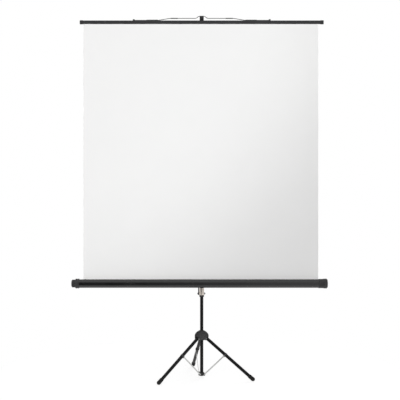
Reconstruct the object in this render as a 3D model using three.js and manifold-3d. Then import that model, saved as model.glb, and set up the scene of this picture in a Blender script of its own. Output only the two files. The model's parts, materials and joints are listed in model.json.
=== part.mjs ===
// Tripod projection screen: telescoping mast on three folding legs, spring-roller case, screen and batten.
// Millimetres, +Z up, floor at z = 0. The screen faces -Y. Pieces are laid out about the mast axis first.
import * as THREE from 'three';
import { mergeVertices } from 'three/addons/utils/BufferGeometryUtils.js';
import Module from 'manifold-3d';

const wasm = await Module();
wasm.setup();

// Clearances
const slideGap = 0.3; // radial, between pieces that slide or turn in each other
const seatGap = 0.3; // between faces that rest on each other

// Mast tubes
const lowerTubeOd = 22;
const lowerTubeWall = 1.5;
const lowerTubeBottom = 12;
const lowerTubeTop = 566;
const midTubeWall = 1.2;
const midTubeBottom = 60;
const midTubeTop = 1415;
const extensionTubeWall = 1.2;
const extensionTubeLength = 1190;
const plugLength = 22;
const plugFlange = 4;

// Leg hub
const hubPivotZ = 260;
const legPivotOut = 19.5; // from the hub's sleeve to the leg pins
const hubSleeveWall = 4.2;
const hubSleeveBelow = 15; // these heights are from the leg pins
const hubSleeveAbove = 44.5;
const earThickness = 4;
const earReach = 8;
const earDepth = 11;
const pinRadius = 3;
const pinHeadRadius = 5;
const pinHeadThickness = 2;
const domeOut = 11.5; // from the leg pins to the cover's rim
const domeWall = 2.4;
const domeRimBelow = 6;
const domeShoulderAbove = 15.5;
const domeRise = 40; // from its shoulder to its top, on the mast's axis
const domePower = 1.3; // 2 is an ellipse, 1 nearly a cone
const domeSeat = 1; // width of its rest outside the sleeve
const domeSlotAbove = 13;
const domeSlotHalf = 27;

// Legs, feet and struts
const legAzimuths = { right: -20.4, rear: 99.6, left: 219.6 };
const strutSides = { right: -1, rear: 1, left: 1 };
const footCircle = 356;
const legOd = 21.4;
const legWall = 1.2;
const legTopOverhang = 8;
const footWall = 2.5;
const footSleeve = 32;
const footBallHeight = 11.5;
const footWeb = 4;
const clipDistance = 166;
const clipLength = 14;
const clipWall = 1.5;
const clipPadThickness = 1;
const clipDrop = 8;
const strutWidth = 9;
const strutThickness = 2;
const rivetRadius = 2.5;
const rivetHeadRadius = 4.5;
const rivetHeadThickness = 2.2;
const collarWall = 4.7;
const collarHeight = 20;
const collarPivotOut = 9; // from the collar's face to the strut pins
const collarPivotRise = 10;
const collarFlangeOut = 7;
const collarFlangeHeight = 5;

// Height clamp between the lower and middle tubes
const clampGrip = 20;
const clampLength = 47;
const clampWall = 4.9;
const clampTaper = 1.2;
const clampTaperLength = 9;
const clampRingHeight = 11;
const clampRingWall = 5;
const clampEarWidth = 26;
const clampEarDepth = 15;
const clampEarHeight = 18;
const clampSlit = 2;
const clampBoltRise = 7.5;
const clampBoltOut = 9; // from the grip's bore
const clampBoltRadius = 3;
const clampHeadRadius = 5;
const clampHeadLength = 4.5;
const clampNutRadius = 7.5;
const clampNutLength = 10;
const leverBossRadius = 9.5;
const leverBossLength = 12;
const leverArmWidth = 8;
const leverArmThickness = 7;
const leverArmInset = 1.5; // from the boss's outer face
const leverArmLength = 48;

// Case pivot on the middle tube
const pivotSleeveWall = 3.5;
const pivotSleeveRise = 40;
const pivotBossRadius = 12;
const pivotPinRadius = 4;
const pivotPinHeadRadius = 8;
const pivotPinHeadThickness = 2;
const pivotPinDepth = 20;
const washerThickness = 1.7;
const plateLength = 120;
const plateHeight = 36;
const plateThickness = 5;
const plateScrewInset = 15;
const screwRadius = 2.5;
const screwHeadRadius = 5;
const screwHeadThickness = 2.5;
const screwReach = 3;

// Extension clamp on top of the middle tube
const extensionClampWall = 4.5;
const extensionClampGrip = 30;
const extensionClampNeck = 25;
const knobRadius = 13;
const knobFlute = 2;
const knobLobes = 6;
const knobLength = 14;
const knobStemRadius = 4;
const knobStandOff = 8;

// Case, roller and fabric
const caseRise = 37.5; // of the case's centre over the height clamp
const caseSetback = 76;
const caseFlat = 54.6;
const caseCorner = 6;
const caseWall = 1.2;
const leftEndMargin = 50; // from the screen's edge
const rightEndMargin = 45;
const capGap = 1;
const capWall = 2.2;
const capDisc = 4;
const capRingLength = 26;
const capFillet = 5;
const rightCapSleeve = 57;
const bearingDisc = 14;
const bearingDepth = 9;
const tensionKnobRadius = 25.5;
const tensionKnobLength = 24;
const tensionShaftRadius = 6;
const tensionShaftLength = 66;
const springRodRadius = 4;
const springRodTail = 34;
const springRodSocket = 20;
const springWire = 1.8;
const springTurns = 7;
const springLength = 226;
const rollerOd = 30;
const rollerWall = 1.5;
const rollerPlugLength = 20;
const rollerEndGap = 14;
const rollThickness = 2.2;
const fabricWidth = 1550;
const fabricShift = -6;
const fabricThickness = 0.8;
const caseSlotGap = 3.6; // on each side of the screen

// Batten and bail
const screenRise = 1722.5; // from the case's centre to the batten's
const battenHeight = 24;
const battenDepth = 15;
const battenWall = 1.4;
const battenEndMargin = 1.5; // from the screen's edge
const battenSlotGap = 0.6; // on each side of the screen
const battenGrip = 6;
const battenCapLength = 22;
const battenCapLip = 1.5;
const battenCapPlug = 12;
const bailWireRadius = 2.5;
const bailGripRadius = 4.2;
const bailGripGap = 0.9; // from the batten's rounded top
const bailJournalTilt = 34.4; // behind the batten's top
const bailLean = 25.3;
const bailEnd = 452;
const bailKneeOuter = 284;
const bailKneeInner = 211;
const bailFlat = 16.3;
const bailPeak = 33.4;
const bailPeakMargin = 7; // beside the hook
const bailPeakSlope = 14;
const bailBend = 6;
const bailGripLength = 74;
const clipBlockLength = 12;
const clipBlockMargin = 4.5;

// Hook on top of the extension tube
const hookWidth = 27;
const hookSocketBottom = 27;
const hookSocketTop = 20;
const hookLip = 1.8;
const hookNose = 5;
const hookRearWall = 6;
const hookArm = 14;

// Facets around round pieces
const wideSides = 28;
const tubeSides = 18;
const smallSides = 12;
const coilSteps = 7; // for each turn of the spring
const bailSteps = 72;
const wireArcSteps = 3;
const cornerSteps = 3;
const endSteps = 5;

// Colours as seen in the photograph
const blackPaint = new THREE.MeshStandardMaterial({ color: 0x1d1e1f, roughness: 0.42, metalness: 0.2 });
const charcoal = new THREE.MeshStandardMaterial({ color: 0x3a3b3c, roughness: 0.45, metalness: 0.3 });
const zinc = new THREE.MeshStandardMaterial({ color: 0xb4aca4, roughness: 0.32, metalness: 0.9 });
const steel = new THREE.MeshStandardMaterial({ color: 0xa9a9a8, roughness: 0.35, metalness: 0.9 });
const plastic = new THREE.MeshStandardMaterial({ color: 0x2a2a2b, roughness: 0.6, metalness: 0 });
const texturedPlastic = new THREE.MeshStandardMaterial({ color: 0x3e3e3f, roughness: 0.75, metalness: 0 });
const rubber = new THREE.MeshStandardMaterial({ color: 0x141414, roughness: 0.8, metalness: 0 });
const screenWhite = new THREE.MeshStandardMaterial({ color: 0xf0f0ee, roughness: 0.9, metalness: 0 });

// Values worked out from the sizes above
const lowerRadius = lowerTubeOd / 2;
const lowerBore = lowerRadius - lowerTubeWall;
const midRadius = lowerBore - slideGap;
const midBore = midRadius - midTubeWall;
const extensionRadius = midBore - slideGap;
const extensionBore = extensionRadius - extensionTubeWall;
const legRadius = legOd / 2;
const tubeFit = lowerRadius + slideGap; // bore of what slides on or grips the lower tube
const midFit = midRadius + slideGap;
const hubSleeveRadius = tubeFit + hubSleeveWall;
const hubSleeveTop = hubPivotZ + hubSleeveAbove;
const legPivotRadius = hubSleeveRadius + legPivotOut;
const domeRadius = legPivotRadius + domeOut;
const domeRim = hubPivotZ - domeRimBelow;
const domeShoulder = hubPivotZ + domeShoulderAbove;
const domeTop = domeShoulder + domeRise;
const collarRadius = tubeFit + collarWall;
const collarPivotRadius = collarRadius + collarPivotOut;
const clampBottom = lowerTubeTop - clampGrip;
const clampTop = clampBottom + clampLength;
const caseCentreZ = clampTop + caseRise;
const screenHalf = fabricWidth / 2 + Math.abs(fabricShift);
const fabricLeft = fabricShift - fabricWidth / 2;
const caseLeft = -screenHalf - leftEndMargin;
const caseRight = screenHalf + rightEndMargin;
const caseCornerReach = (caseFlat / 2 - caseCorner) / Math.cos(Math.PI / 8) + caseCorner;
const capBore = caseCornerReach + capGap;
const capRadius = capBore + capWall;
const caseY = -caseSetback;
const caseBackY = caseY + caseFlat / 2;
const rollerRadius = rollerOd / 2;
const rollRadius = rollerRadius + slideGap + rollThickness;
const fabricY = caseY + rollRadius + seatGap + fabricThickness / 2;
const housingLeft = caseLeft + capDisc + seatGap;
const housingRight = caseRight - bearingDisc - seatGap;
const rollerLeft = housingLeft + rollerEndGap;
const rollerRight = housingRight - rollerEndGap;
const battenTubeHalf = screenHalf + battenEndMargin;
const battenHalf = battenTubeHalf + battenCapLength;
const battenSlot = fabricThickness + 2 * battenSlotGap;
const battenCentreZ = caseCentreZ + screenRise;
const journalReach = battenDepth / 2 + bailGripRadius + bailGripGap;
const journalTilt = THREE.MathUtils.degToRad(bailJournalTilt);
const bailJournalRise = (battenHeight - battenDepth) / 2 + journalReach * Math.cos(journalTilt);
const bailJournalSetback = journalReach * Math.sin(journalTilt);
const bailPeakHalf = hookWidth / 2 + bailPeakMargin;
const peakY = fabricY + bailJournalSetback + bailPeak * Math.sin(THREE.MathUtils.degToRad(bailLean));
const peakZ = battenCentreZ + bailJournalRise + bailPeak * Math.cos(THREE.MathUtils.degToRad(bailLean));
const extensionTop = battenCentreZ + hookSocketTop - plugFlange;
const strutInner = legRadius + slideGap + clipWall + clipPadThickness + seatGap;

// Orientations: a piece made along +Z is turned so that its length lies along X or Y
const X = new THREE.Vector3(1, 0, 0);
const Y = new THREE.Vector3(0, 1, 0);
const Z = new THREE.Vector3(0, 0, 1);
const ontoX = new THREE.Matrix4().makeBasis(Y, Z, X);
const ontoY = new THREE.Matrix4().makeBasis(Z, X, Y);

// A closed geometry as a solid, without repeated vertices or collapsed triangles
function solidOf(shape) {
  if (shape instanceof wasm.Manifold) return shape;
  const bare = shape.index ? shape.toNonIndexed() : shape.clone();
  bare.deleteAttribute('normal');
  bare.deleteAttribute('uv');
  const merged = mergeVertices(bare);
  const corners = merged.index.array;
  const kept = [];
  for (let i = 0; i < corners.length; i += 3) {
    const [a, b, c] = corners.slice(i, i + 3);
    if (a !== b && b !== c && c !== a) kept.push(a, b, c);
  }
  const vertProperties = Float32Array.from(merged.attributes.position.array);
  return new wasm.Manifold(new wasm.Mesh({ numProp: 3, vertProperties, triVerts: Uint32Array.from(kept) }));
}

function geometryOf(solid) {
  const mesh = solid.getMesh();
  const geometry = new THREE.BufferGeometry();
  geometry.setAttribute('position', new THREE.BufferAttribute(mesh.vertProperties, mesh.numProp));
  geometry.setIndex(new THREE.BufferAttribute(mesh.triVerts, 1));
  return geometry;
}

function join(first, ...others) {
  return others.reduce((whole, other) => whole.add(solidOf(other)), solidOf(first));
}

function cut(first, ...tools) {
  return tools.reduce((whole, tool) => whole.subtract(solidOf(tool)), solidOf(first));
}

function piece(parent, name, shape, material) {
  const geometry = shape instanceof wasm.Manifold ? geometryOf(shape) : shape;
  const mesh = new THREE.Mesh(geometry, material);
  mesh.name = name;
  parent.add(mesh);
  return mesh;
}

// A profile of [radius, height] points, anticlockwise, turned about Z
function turned(profile, sides = tubeSides) {
  const points = profile.map(([radius, height]) => new THREE.Vector2(radius, height));
  return new THREE.LatheGeometry(points, sides).rotateX(Math.PI / 2);
}

function rod(radius, low, high, sides = smallSides) {
  return turned([[0, low], [radius, low], [radius, high], [0, high]], sides);
}

function ring(outer, inner, low, high, sides = tubeSides) {
  return turned([[inner, low], [outer, low], [outer, high], [inner, high], [inner, low]], sides);
}

function box(x0, x1, y0, y1, z0, z1) {
  const block = new THREE.BoxGeometry(x1 - x0, y1 - y0, z1 - z0);
  return block.translate((x0 + x1) / 2, (y0 + y1) / 2, (z0 + z1) / 2);
}

function extruded(shape, low, high, curveSegments = endSteps) {
  const options = { depth: high - low, bevelEnabled: false, curveSegments };
  return new THREE.ExtrudeGeometry(shape, options).translate(0, 0, low);
}

// A rectangle with half-round ends, long in y
function stadium(width, height) {
  const radius = width / 2;
  const straight = height / 2 - radius;
  const shape = new THREE.Shape();
  shape.absarc(0, straight, radius, 0, Math.PI, false);
  shape.absarc(0, -straight, radius, Math.PI, 2 * Math.PI, false);
  shape.closePath();
  return shape;
}

// A regular octagon with flats above, below and on both sides, and rounded corners
function octagon(flat, corner) {
  const centreRadius = (flat / 2 - corner) / Math.cos(Math.PI / 8);
  const shape = new THREE.Shape();
  for (let i = 0; i < 8; i += 1) {
    const middle = (i + 0.5) * Math.PI / 4;
    const x = centreRadius * Math.cos(middle);
    const y = centreRadius * Math.sin(middle);
    shape.absarc(x, y, corner, middle - Math.PI / 8, middle + Math.PI / 8, false);
  }
  shape.closePath();
  return shape;
}

// A lobed hand knob on a stem that starts at the height stemLow
function lobedKnob(stemLow, knobLow) {
  const points = [];
  const count = knobLobes * 4;
  for (let i = 0; i < count; i += 1) {
    const angle = i / count * 2 * Math.PI;
    const radius = knobRadius - knobFlute * (1 - Math.cos(knobLobes * angle)) / 2;
    points.push(new THREE.Vector2(radius * Math.cos(angle), radius * Math.sin(angle)));
  }
  const grip = extruded(new THREE.Shape(points), knobLow, knobLow + knobLength);
  return join(grip, rod(knobStemRadius, stemLow, knobLow + knobLength / 2));
}

// A path of straight runs joined by small bends
function bentPath(points, bend) {
  const path = new THREE.CurvePath();
  let start = points[0];
  for (let i = 1; i < points.length - 1; i += 1) {
    const before = points[i].clone().lerp(points[i - 1], bend / points[i].distanceTo(points[i - 1]));
    const after = points[i].clone().lerp(points[i + 1], bend / points[i].distanceTo(points[i + 1]));
    path.add(new THREE.LineCurve3(start, before));
    path.add(new THREE.QuadraticBezierCurve3(before, points[i], after));
    start = after;
  }
  path.add(new THREE.LineCurve3(start, points[points.length - 1]));
  return path;
}

// A round wire of the given radius along a path
function wire(path, radius, steps) {
  const section = new THREE.Shape().absarc(0, 0, radius, 0, 2 * Math.PI, false);
  return new THREE.ExtrudeGeometry(section, { extrudePath: path, steps, curveSegments: wireArcSteps });
}

const model = new THREE.Group();

// Mast: three tubes, each sliding in the one below
function addMast() {
  piece(model, 'mast_lower_tube', ring(lowerRadius, lowerBore, lowerTubeBottom, lowerTubeTop), blackPaint);
  const plugRadius = lowerBore - slideGap;
  const plugBase = lowerTubeBottom - seatGap;
  const footPlug = turned([
    [0, plugBase - plugFlange], [lowerRadius, plugBase - plugFlange], [lowerRadius, plugBase],
    [plugRadius, plugBase], [plugRadius, plugBase + plugLength], [0, plugBase + plugLength],
  ]);
  piece(model, 'mast_foot_plug', footPlug, plastic);

  piece(model, 'mid_mast_tube', ring(midRadius, midBore, midTubeBottom, midTubeTop), blackPaint);
  piece(model, 'mid_mast_plug', tubePlug(midRadius, midBore, midTubeBottom), plastic);

  const extensionBottom = extensionTop - extensionTubeLength;
  piece(model, 'extension_tube', ring(extensionRadius, extensionBore, extensionBottom, extensionTop), zinc);
  piece(model, 'extension_plug', tubePlug(extensionRadius, extensionBore, extensionBottom), plastic);
}

// A plug in the lower end of an inner tube, with a flange below the tube
function tubePlug(radius, bore, tubeBottom) {
  const base = tubeBottom - seatGap;
  const plug = bore - slideGap;
  return turned([
    [0, base - plugFlange], [radius, base - plugFlange], [radius, base],
    [plug, base], [plug, base + plugLength], [0, base + plugLength],
  ]);
}

// Hub that slides on the lower tube and carries the three legs, under a dome cover
function addHub() {
  const earInner = legRadius + slideGap;
  const earOuter = earInner + earThickness;
  const pinBore = pinRadius + slideGap;
  const stemBore = knobStemRadius + slideGap;
  const knobZ = (domeShoulder + hubSleeveTop) / 2;
  const rearTurn = new THREE.Matrix4().makeRotationZ(THREE.MathUtils.degToRad(legAzimuths.rear));

  let hub = solidOf(ring(hubSleeveRadius, tubeFit, hubPivotZ - hubSleeveBelow, hubSleeveTop));
  const slots = [];
  for (const azimuth of Object.values(legAzimuths)) {
    const turn = new THREE.Matrix4().makeRotationZ(THREE.MathUtils.degToRad(azimuth));
    for (const side of [-1, 1]) {
      const near = Math.min(side * earInner, side * earOuter);
      const far = Math.max(side * earInner, side * earOuter);
      const earEnd = legPivotRadius + earReach;
      const ear = box(0, earEnd, near, far, hubPivotZ - earDepth, hubPivotZ + earDepth);
      hub = hub.add(solidOf(ear.applyMatrix4(turn)));
    }
    const bore = rod(pinBore, -2 * earOuter, 2 * earOuter).applyMatrix4(ontoY);
    hub = hub.subtract(solidOf(bore.translate(legPivotRadius, 0, hubPivotZ).applyMatrix4(turn)));
    const slotTop = hubPivotZ + domeSlotAbove;
    const slotLow = domeRim - domeWall;
    const slot = box(hubSleeveRadius, 2 * domeRadius, -domeSlotHalf, domeSlotHalf, slotLow, slotTop);
    slots.push(slot.applyMatrix4(turn));
  }
  const tubeBore = rod(tubeFit, domeRim - hubSleeveBelow, domeTop, tubeSides);
  const stemHole = rod(stemBore, 0, 2 * domeRadius)
    .applyMatrix4(ontoX).translate(0, 0, knobZ).applyMatrix4(rearTurn);
  piece(model, 'leg_hub', cut(hub, tubeBore, stemHole), plastic);

  const coverFloor = hubSleeveTop + seatGap;
  const inner = domeRadius - domeWall;
  const seat = hubSleeveRadius + domeSeat;
  const innerRise = (coverFloor - domeShoulder) / Math.sqrt(1 - (seat / inner) ** domePower);
  const profile = [
    [tubeFit, coverFloor], ...domeArc(inner, innerRise, seat).reverse(), [inner, domeRim],
    [domeRadius, domeRim], ...domeArc(domeRadius, domeRise, tubeFit), [tubeFit, coverFloor],
  ];
  piece(model, 'hub_dome_cover', cut(turned(profile, wideSides), ...slots, stemHole), texturedPlastic);

  const knobLow = domeRadius + knobStandOff;
  const knob = geometryOf(lobedKnob(tubeFit, knobLow)).applyMatrix4(ontoX);
  piece(model, 'hub_lock_knob', knob.translate(0, 0, knobZ).applyMatrix4(rearTurn), plastic);
}

// Points of an ellipse about the mast's axis, from the cover's shoulder up and in to the radius end
function domeArc(radius, rise, end) {
  const steps = 5;
  const last = Math.acos((end / radius) ** (domePower / 2));
  const points = [];
  for (let i = 0; i <= steps; i += 1) {
    const angle = i / steps * last;
    points.push([radius * Math.cos(angle) ** (2 / domePower), domeShoulder + rise * Math.sin(angle)]);
  }
  return points;
}

// One leg with its pin, clip, rubber foot and strut, in a group turned to the leg's azimuth
function addLeg(name) {
  const leg = new THREE.Group();
  leg.rotation.z = THREE.MathUtils.degToRad(legAzimuths[name]);
  model.add(leg);
  const side = strutSides[name];
  const pivot = new THREE.Vector3(legPivotRadius, 0, hubPivotZ);
  const ball = new THREE.Vector3(footCircle, 0, footBallHeight);
  const length = pivot.distanceTo(ball);
  const down = ball.clone().sub(pivot).normalize();
  const under = Y.clone().cross(down);
  const along = new THREE.Matrix4().makeBasis(under, Y, down).setPosition(pivot);

  const pinBore = rod(pinRadius + slideGap, -legOd, legOd).applyMatrix4(ontoY);
  const tubeEnd = length - footWeb;
  const tube = cut(ring(legRadius, legRadius - legWall, -legTopOverhang, tubeEnd), pinBore);
  piece(leg, `leg_${name}`, geometryOf(tube).applyMatrix4(along), blackPaint);

  const earOuter = legRadius + slideGap + earThickness;
  const headInner = earOuter + seatGap;
  const headOuter = headInner + pinHeadThickness;
  const pin = turned([
    [0, -headOuter], [pinHeadRadius, -headOuter], [pinHeadRadius, -headInner], [pinRadius, -headInner],
    [pinRadius, headInner], [pinHeadRadius, headInner], [pinHeadRadius, headOuter], [0, headOuter],
  ], smallSides);
  piece(leg, `leg_pin_${name}`, pin.applyMatrix4(ontoY).translate(pivot.x, pivot.y, pivot.z), steel);

  const clipBore = legRadius + slideGap;
  const clipLow = clipDistance - clipLength / 2;
  const clipHigh = clipDistance + clipLength / 2;
  const padFace = clipBore + clipWall + clipPadThickness;
  const padNear = Math.min(side * legRadius, side * padFace);
  const padFar = Math.max(side * legRadius, side * padFace);
  const pad = box(-rivetHeadRadius, clipDrop + rivetHeadRadius, padNear, padFar, clipLow, clipHigh);
  const band = join(ring(clipBore + clipWall, clipBore - clipWall, clipLow, clipHigh), pad);
  const clip = cut(band, rod(clipBore, clipLow - clipLength, clipHigh + clipLength, tubeSides));
  piece(leg, `leg_clip_${name}`, geometryOf(clip).applyMatrix4(along), plastic);

  const footBore = legRadius + slideGap;
  const footRadius = footBore + footWall;
  const footTop = length - footSleeve;
  const socketEnd = tubeEnd + seatGap;
  const dome = [];
  const domeSteps = 4;
  for (let i = 0; i <= domeSteps; i += 1) {
    const angle = i / domeSteps * Math.PI / 2;
    dome.push([footRadius * Math.sin(angle), length + footRadius * Math.cos(angle)]);
  }
  const footProfile = [
    [0, socketEnd], [footBore, socketEnd], [footBore, footTop], [footRadius, footTop], ...dome.reverse(),
  ];
  const foot = turned(footProfile).applyMatrix4(along);
  const belowFloor = box(0, 2 * footCircle, -footCircle, footCircle, -footCircle, 0);
  piece(leg, `rubber_foot_${name}`, cut(foot, belowFloor), rubber);

  const lower = new THREE.Vector3(collarPivotRadius, 0, lowerTubeBottom + collarPivotRise);
  const upper = pivot.clone().addScaledVector(down, clipDistance).addScaledVector(under, clipDrop);
  const reach = upper.distanceTo(lower);
  const strip = stadium(strutWidth, reach + strutWidth);
  const strutOuter = strutInner + strutThickness;
  const flat = extruded(strip, strutInner, strutOuter);
  const hole = rod(rivetRadius + slideGap, 0, 2 * strutInner).translate(0, -reach / 2, 0);
  const button = rod(rivetHeadRadius, strutInner, strutOuter + rivetHeadThickness).translate(0, reach / 2, 0);
  const strut = geometryOf(cut(join(flat, button), hole)).translate(0, reach / 2, 0);
  const rise = upper.clone().sub(lower).normalize();
  const outward = Y.clone().multiplyScalar(side);
  const across = rise.clone().cross(outward);
  const stand = new THREE.Matrix4().makeBasis(across, rise, outward).setPosition(lower);
  piece(leg, `strut_${name}`, strut.applyMatrix4(stand), zinc);
}

// Collar fixed at the foot of the mast, with one ear and one riveted pin for each strut
function addStrutCollar() {
  const low = lowerTubeBottom;
  const high = low + collarHeight;
  const pivotZ = low + collarPivotRise;
  const earFace = strutInner - seatGap;
  const headFace = strutInner + strutThickness + seatGap;
  const flangeRadius = collarRadius + collarFlangeOut;
  const flange = ring(flangeRadius, tubeFit - slideGap, low, low + collarFlangeHeight, wideSides);
  let collar = join(ring(collarRadius, tubeFit, low, high), flange);
  for (const [name, azimuth] of Object.entries(legAzimuths)) {
    const side = strutSides[name];
    const turn = new THREE.Matrix4().makeRotationZ(THREE.MathUtils.degToRad(azimuth));
    const near = Math.min(side * (earFace - earThickness), side * earFace);
    const far = Math.max(side * (earFace - earThickness), side * earFace);
    const ear = box(0, collarPivotRadius + strutWidth / 2, near, far, low, high);
    const flip = new THREE.Matrix4().makeRotationX(side > 0 ? 0 : Math.PI);
    const pin = rod(rivetRadius, earFace - earThickness / 2, headFace + rivetHeadThickness / 2);
    const head = rod(rivetHeadRadius, headFace, headFace + rivetHeadThickness);
    for (const part of [pin, head]) {
      part.applyMatrix4(ontoY).applyMatrix4(flip).translate(collarPivotRadius, 0, pivotZ);
    }
    for (const part of [ear, pin, head]) collar = collar.add(solidOf(part.applyMatrix4(turn)));
  }
  const tubeBore = rod(tubeFit, low - collarHeight, high + collarHeight, tubeSides);
  piece(model, 'strut_collar', cut(collar, tubeBore), plastic);
}

// Clamp sleeve on top of the lower tube, closed by a bolt and lever behind the tube
function addHeightClamp() {
  const shoulder = lowerTubeTop + seatGap;
  const clampRadius = tubeFit + clampWall;
  const sleeve = turned([
    [tubeFit, clampBottom], [clampRadius - clampTaper, clampBottom],
    [clampRadius, clampBottom + clampTaperLength], [clampRadius, clampTop], [midFit, clampTop],
    [midFit, shoulder], [tubeFit, shoulder], [tubeFit, clampBottom],
  ]);
  const boltZ = clampBottom + clampBoltRise;
  const earHalf = clampEarWidth / 2;
  const earBack = tubeFit + clampEarDepth;
  const earTop = clampBottom + clampEarHeight;
  const ears = box(-earHalf, earHalf, 0, earBack, clampBottom, earTop);
  const slitHalf = clampSlit / 2;
  const slit = box(-slitHalf, slitHalf, 0, 2 * earBack, clampBottom - clampGrip, earTop + clampSlit);
  const boltPlace = new THREE.Vector3(0, tubeFit + clampBoltOut, boltZ);
  const boltHole = rod(clampBoltRadius + slideGap, -clampEarWidth, clampEarWidth).applyMatrix4(ontoX);
  boltHole.translate(boltPlace.x, boltPlace.y, boltPlace.z);
  const bore = rod(tubeFit, clampBottom - clampGrip, shoulder, tubeSides);
  piece(model, 'height_clamp_sleeve', cut(join(sleeve, ears), bore, slit, boltHole), zinc);

  const ringTop = clampBottom - seatGap;
  const capRing = ring(tubeFit + clampRingWall, tubeFit, ringTop - clampRingHeight, ringTop);
  piece(model, 'clamp_lower_ring', capRing, plastic);

  const bossFar = -earHalf - seatGap - leverBossLength;
  const headNear = bossFar - seatGap;
  const nutNear = earHalf + seatGap;
  const nutFar = nutNear + clampNutLength;
  const headFar = headNear - clampHeadLength;
  const boltTip = nutFar + clampHeadLength / 2;
  const bolt = turned([
    [0, headFar], [clampHeadRadius, headFar], [clampHeadRadius, headNear],
    [clampBoltRadius, headNear], [clampBoltRadius, boltTip], [0, boltTip],
  ], smallSides).applyMatrix4(ontoX);
  piece(model, 'clamp_bolt', bolt.translate(boltPlace.x, boltPlace.y, boltPlace.z), steel);

  const nut = cut(rod(clampNutRadius, nutNear, nutFar, 6), rod(clampBoltRadius + slideGap, 0, 2 * nutFar));
  const nutShape = geometryOf(nut).applyMatrix4(ontoX);
  piece(model, 'clamp_nut', nutShape.translate(boltPlace.x, boltPlace.y, boltPlace.z), steel);

  const boss = rod(leverBossRadius, bossFar, -earHalf - seatGap).applyMatrix4(ontoX);
  const armHalf = leverArmWidth / 2;
  const armFar = bossFar + leverArmInset;
  const arm = box(armFar, armFar + leverArmThickness, -armHalf, armHalf, 0, leverArmLength);
  const leverHole = rod(clampBoltRadius + slideGap, 2 * bossFar, 0).applyMatrix4(ontoX);
  const lever = geometryOf(cut(join(boss, arm), leverHole));
  piece(model, 'clamp_lever', lever.translate(boltPlace.x, boltPlace.y, boltPlace.z), plastic);
}

// Bracket on the middle tube, with the pin that the case turns on
function addCasePivot() {
  const low = clampTop + seatGap;
  const high = caseCentreZ + pivotSleeveRise;
  const plateFront = caseBackY + seatGap;
  const plateBack = plateFront + plateThickness;
  const bossFace = plateBack + washerThickness + 2 * seatGap;
  const pinTip = bossFace + pivotPinDepth;
  const onPivot = (shape, x = 0) => shape.applyMatrix4(ontoY).translate(x, 0, caseCentreZ);

  const sleeve = ring(midFit + pivotSleeveWall, midFit, low, high);
  const boss = onPivot(rod(pivotBossRadius, bossFace, 0));
  const tubeBore = rod(midFit, low - pivotSleeveRise, high + pivotSleeveRise, tubeSides);
  const pinHole = onPivot(rod(pivotPinRadius + slideGap, bossFace - pivotPinDepth, pinTip));
  piece(model, 'pivot_bracket', cut(join(sleeve, boss), tubeBore, pinHole), blackPaint);

  const washer = ring(pivotBossRadius, pivotPinRadius + slideGap, plateBack + seatGap, bossFace - seatGap);
  piece(model, 'pivot_washer', onPivot(washer), plastic);

  const headFront = plateFront + seatGap;
  const headBack = headFront + pivotPinHeadThickness;
  const pin = turned([
    [0, headFront], [pivotPinHeadRadius, headFront], [pivotPinHeadRadius, headBack],
    [pivotPinRadius, headBack], [pivotPinRadius, pinTip - seatGap], [0, pinTip - seatGap],
  ]);
  piece(model, 'pivot_pin', onPivot(pin), steel);

  const plate = new THREE.BoxGeometry(plateLength, plateThickness, plateHeight);
  plate.translate(0, (plateFront + plateBack) / 2, caseCentreZ);
  const pinPassage = onPivot(rod(pivotPinRadius + slideGap, caseY, 0));
  const headPocket = onPivot(rod(pivotPinHeadRadius + slideGap, caseY, headBack + seatGap, tubeSides));
  piece(model, 'case_bracket', cut(plate, pinPassage, headPocket, ...plateScrewHoles()), blackPaint);

  const underHead = plateBack + seatGap;
  const screwTip = caseBackY - caseWall - screwReach;
  plateScrewPlaces().forEach((x, i) => {
    const screw = turned([
      [0, screwTip], [screwRadius, screwTip], [screwRadius, underHead], [screwHeadRadius, underHead],
      [screwHeadRadius, underHead + screwHeadThickness], [0, underHead + screwHeadThickness],
    ], smallSides);
    piece(model, `bracket_screw_${i + 1}`, onPivot(screw, x), steel);
  });
}

function plateScrewPlaces() {
  const reach = plateLength / 2 - plateScrewInset;
  return [-reach, reach];
}

function plateScrewHoles() {
  return plateScrewPlaces().map((x) => {
    const hole = rod(screwRadius + slideGap, caseY, 0).applyMatrix4(ontoY);
    return hole.translate(x, 0, caseCentreZ);
  });
}

// Clamp collar on top of the middle tube, with a hand knob at the back
function addExtensionClamp() {
  const neckBore = extensionRadius + slideGap;
  const collarOuter = midFit + extensionClampWall;
  const low = midTubeTop - extensionClampGrip;
  const shoulder = midTubeTop + seatGap;
  const high = shoulder + extensionClampNeck;
  const collar = turned([
    [midFit, low], [collarOuter, low], [collarOuter, high], [neckBore, high],
    [neckBore, shoulder], [midFit, shoulder], [midFit, low],
  ]);
  const knobZ = (shoulder + high) / 2;
  const hole = rod(knobStemRadius + slideGap, 0, 2 * collarOuter).applyMatrix4(ontoY);
  piece(model, 'extension_clamp_collar', cut(collar, hole.translate(0, 0, knobZ)), plastic);

  const knob = geometryOf(lobedKnob(neckBore, collarOuter + knobStandOff));
  piece(model, 'extension_clamp_knob', knob.applyMatrix4(ontoY).translate(0, 0, knobZ), plastic);
}

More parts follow.
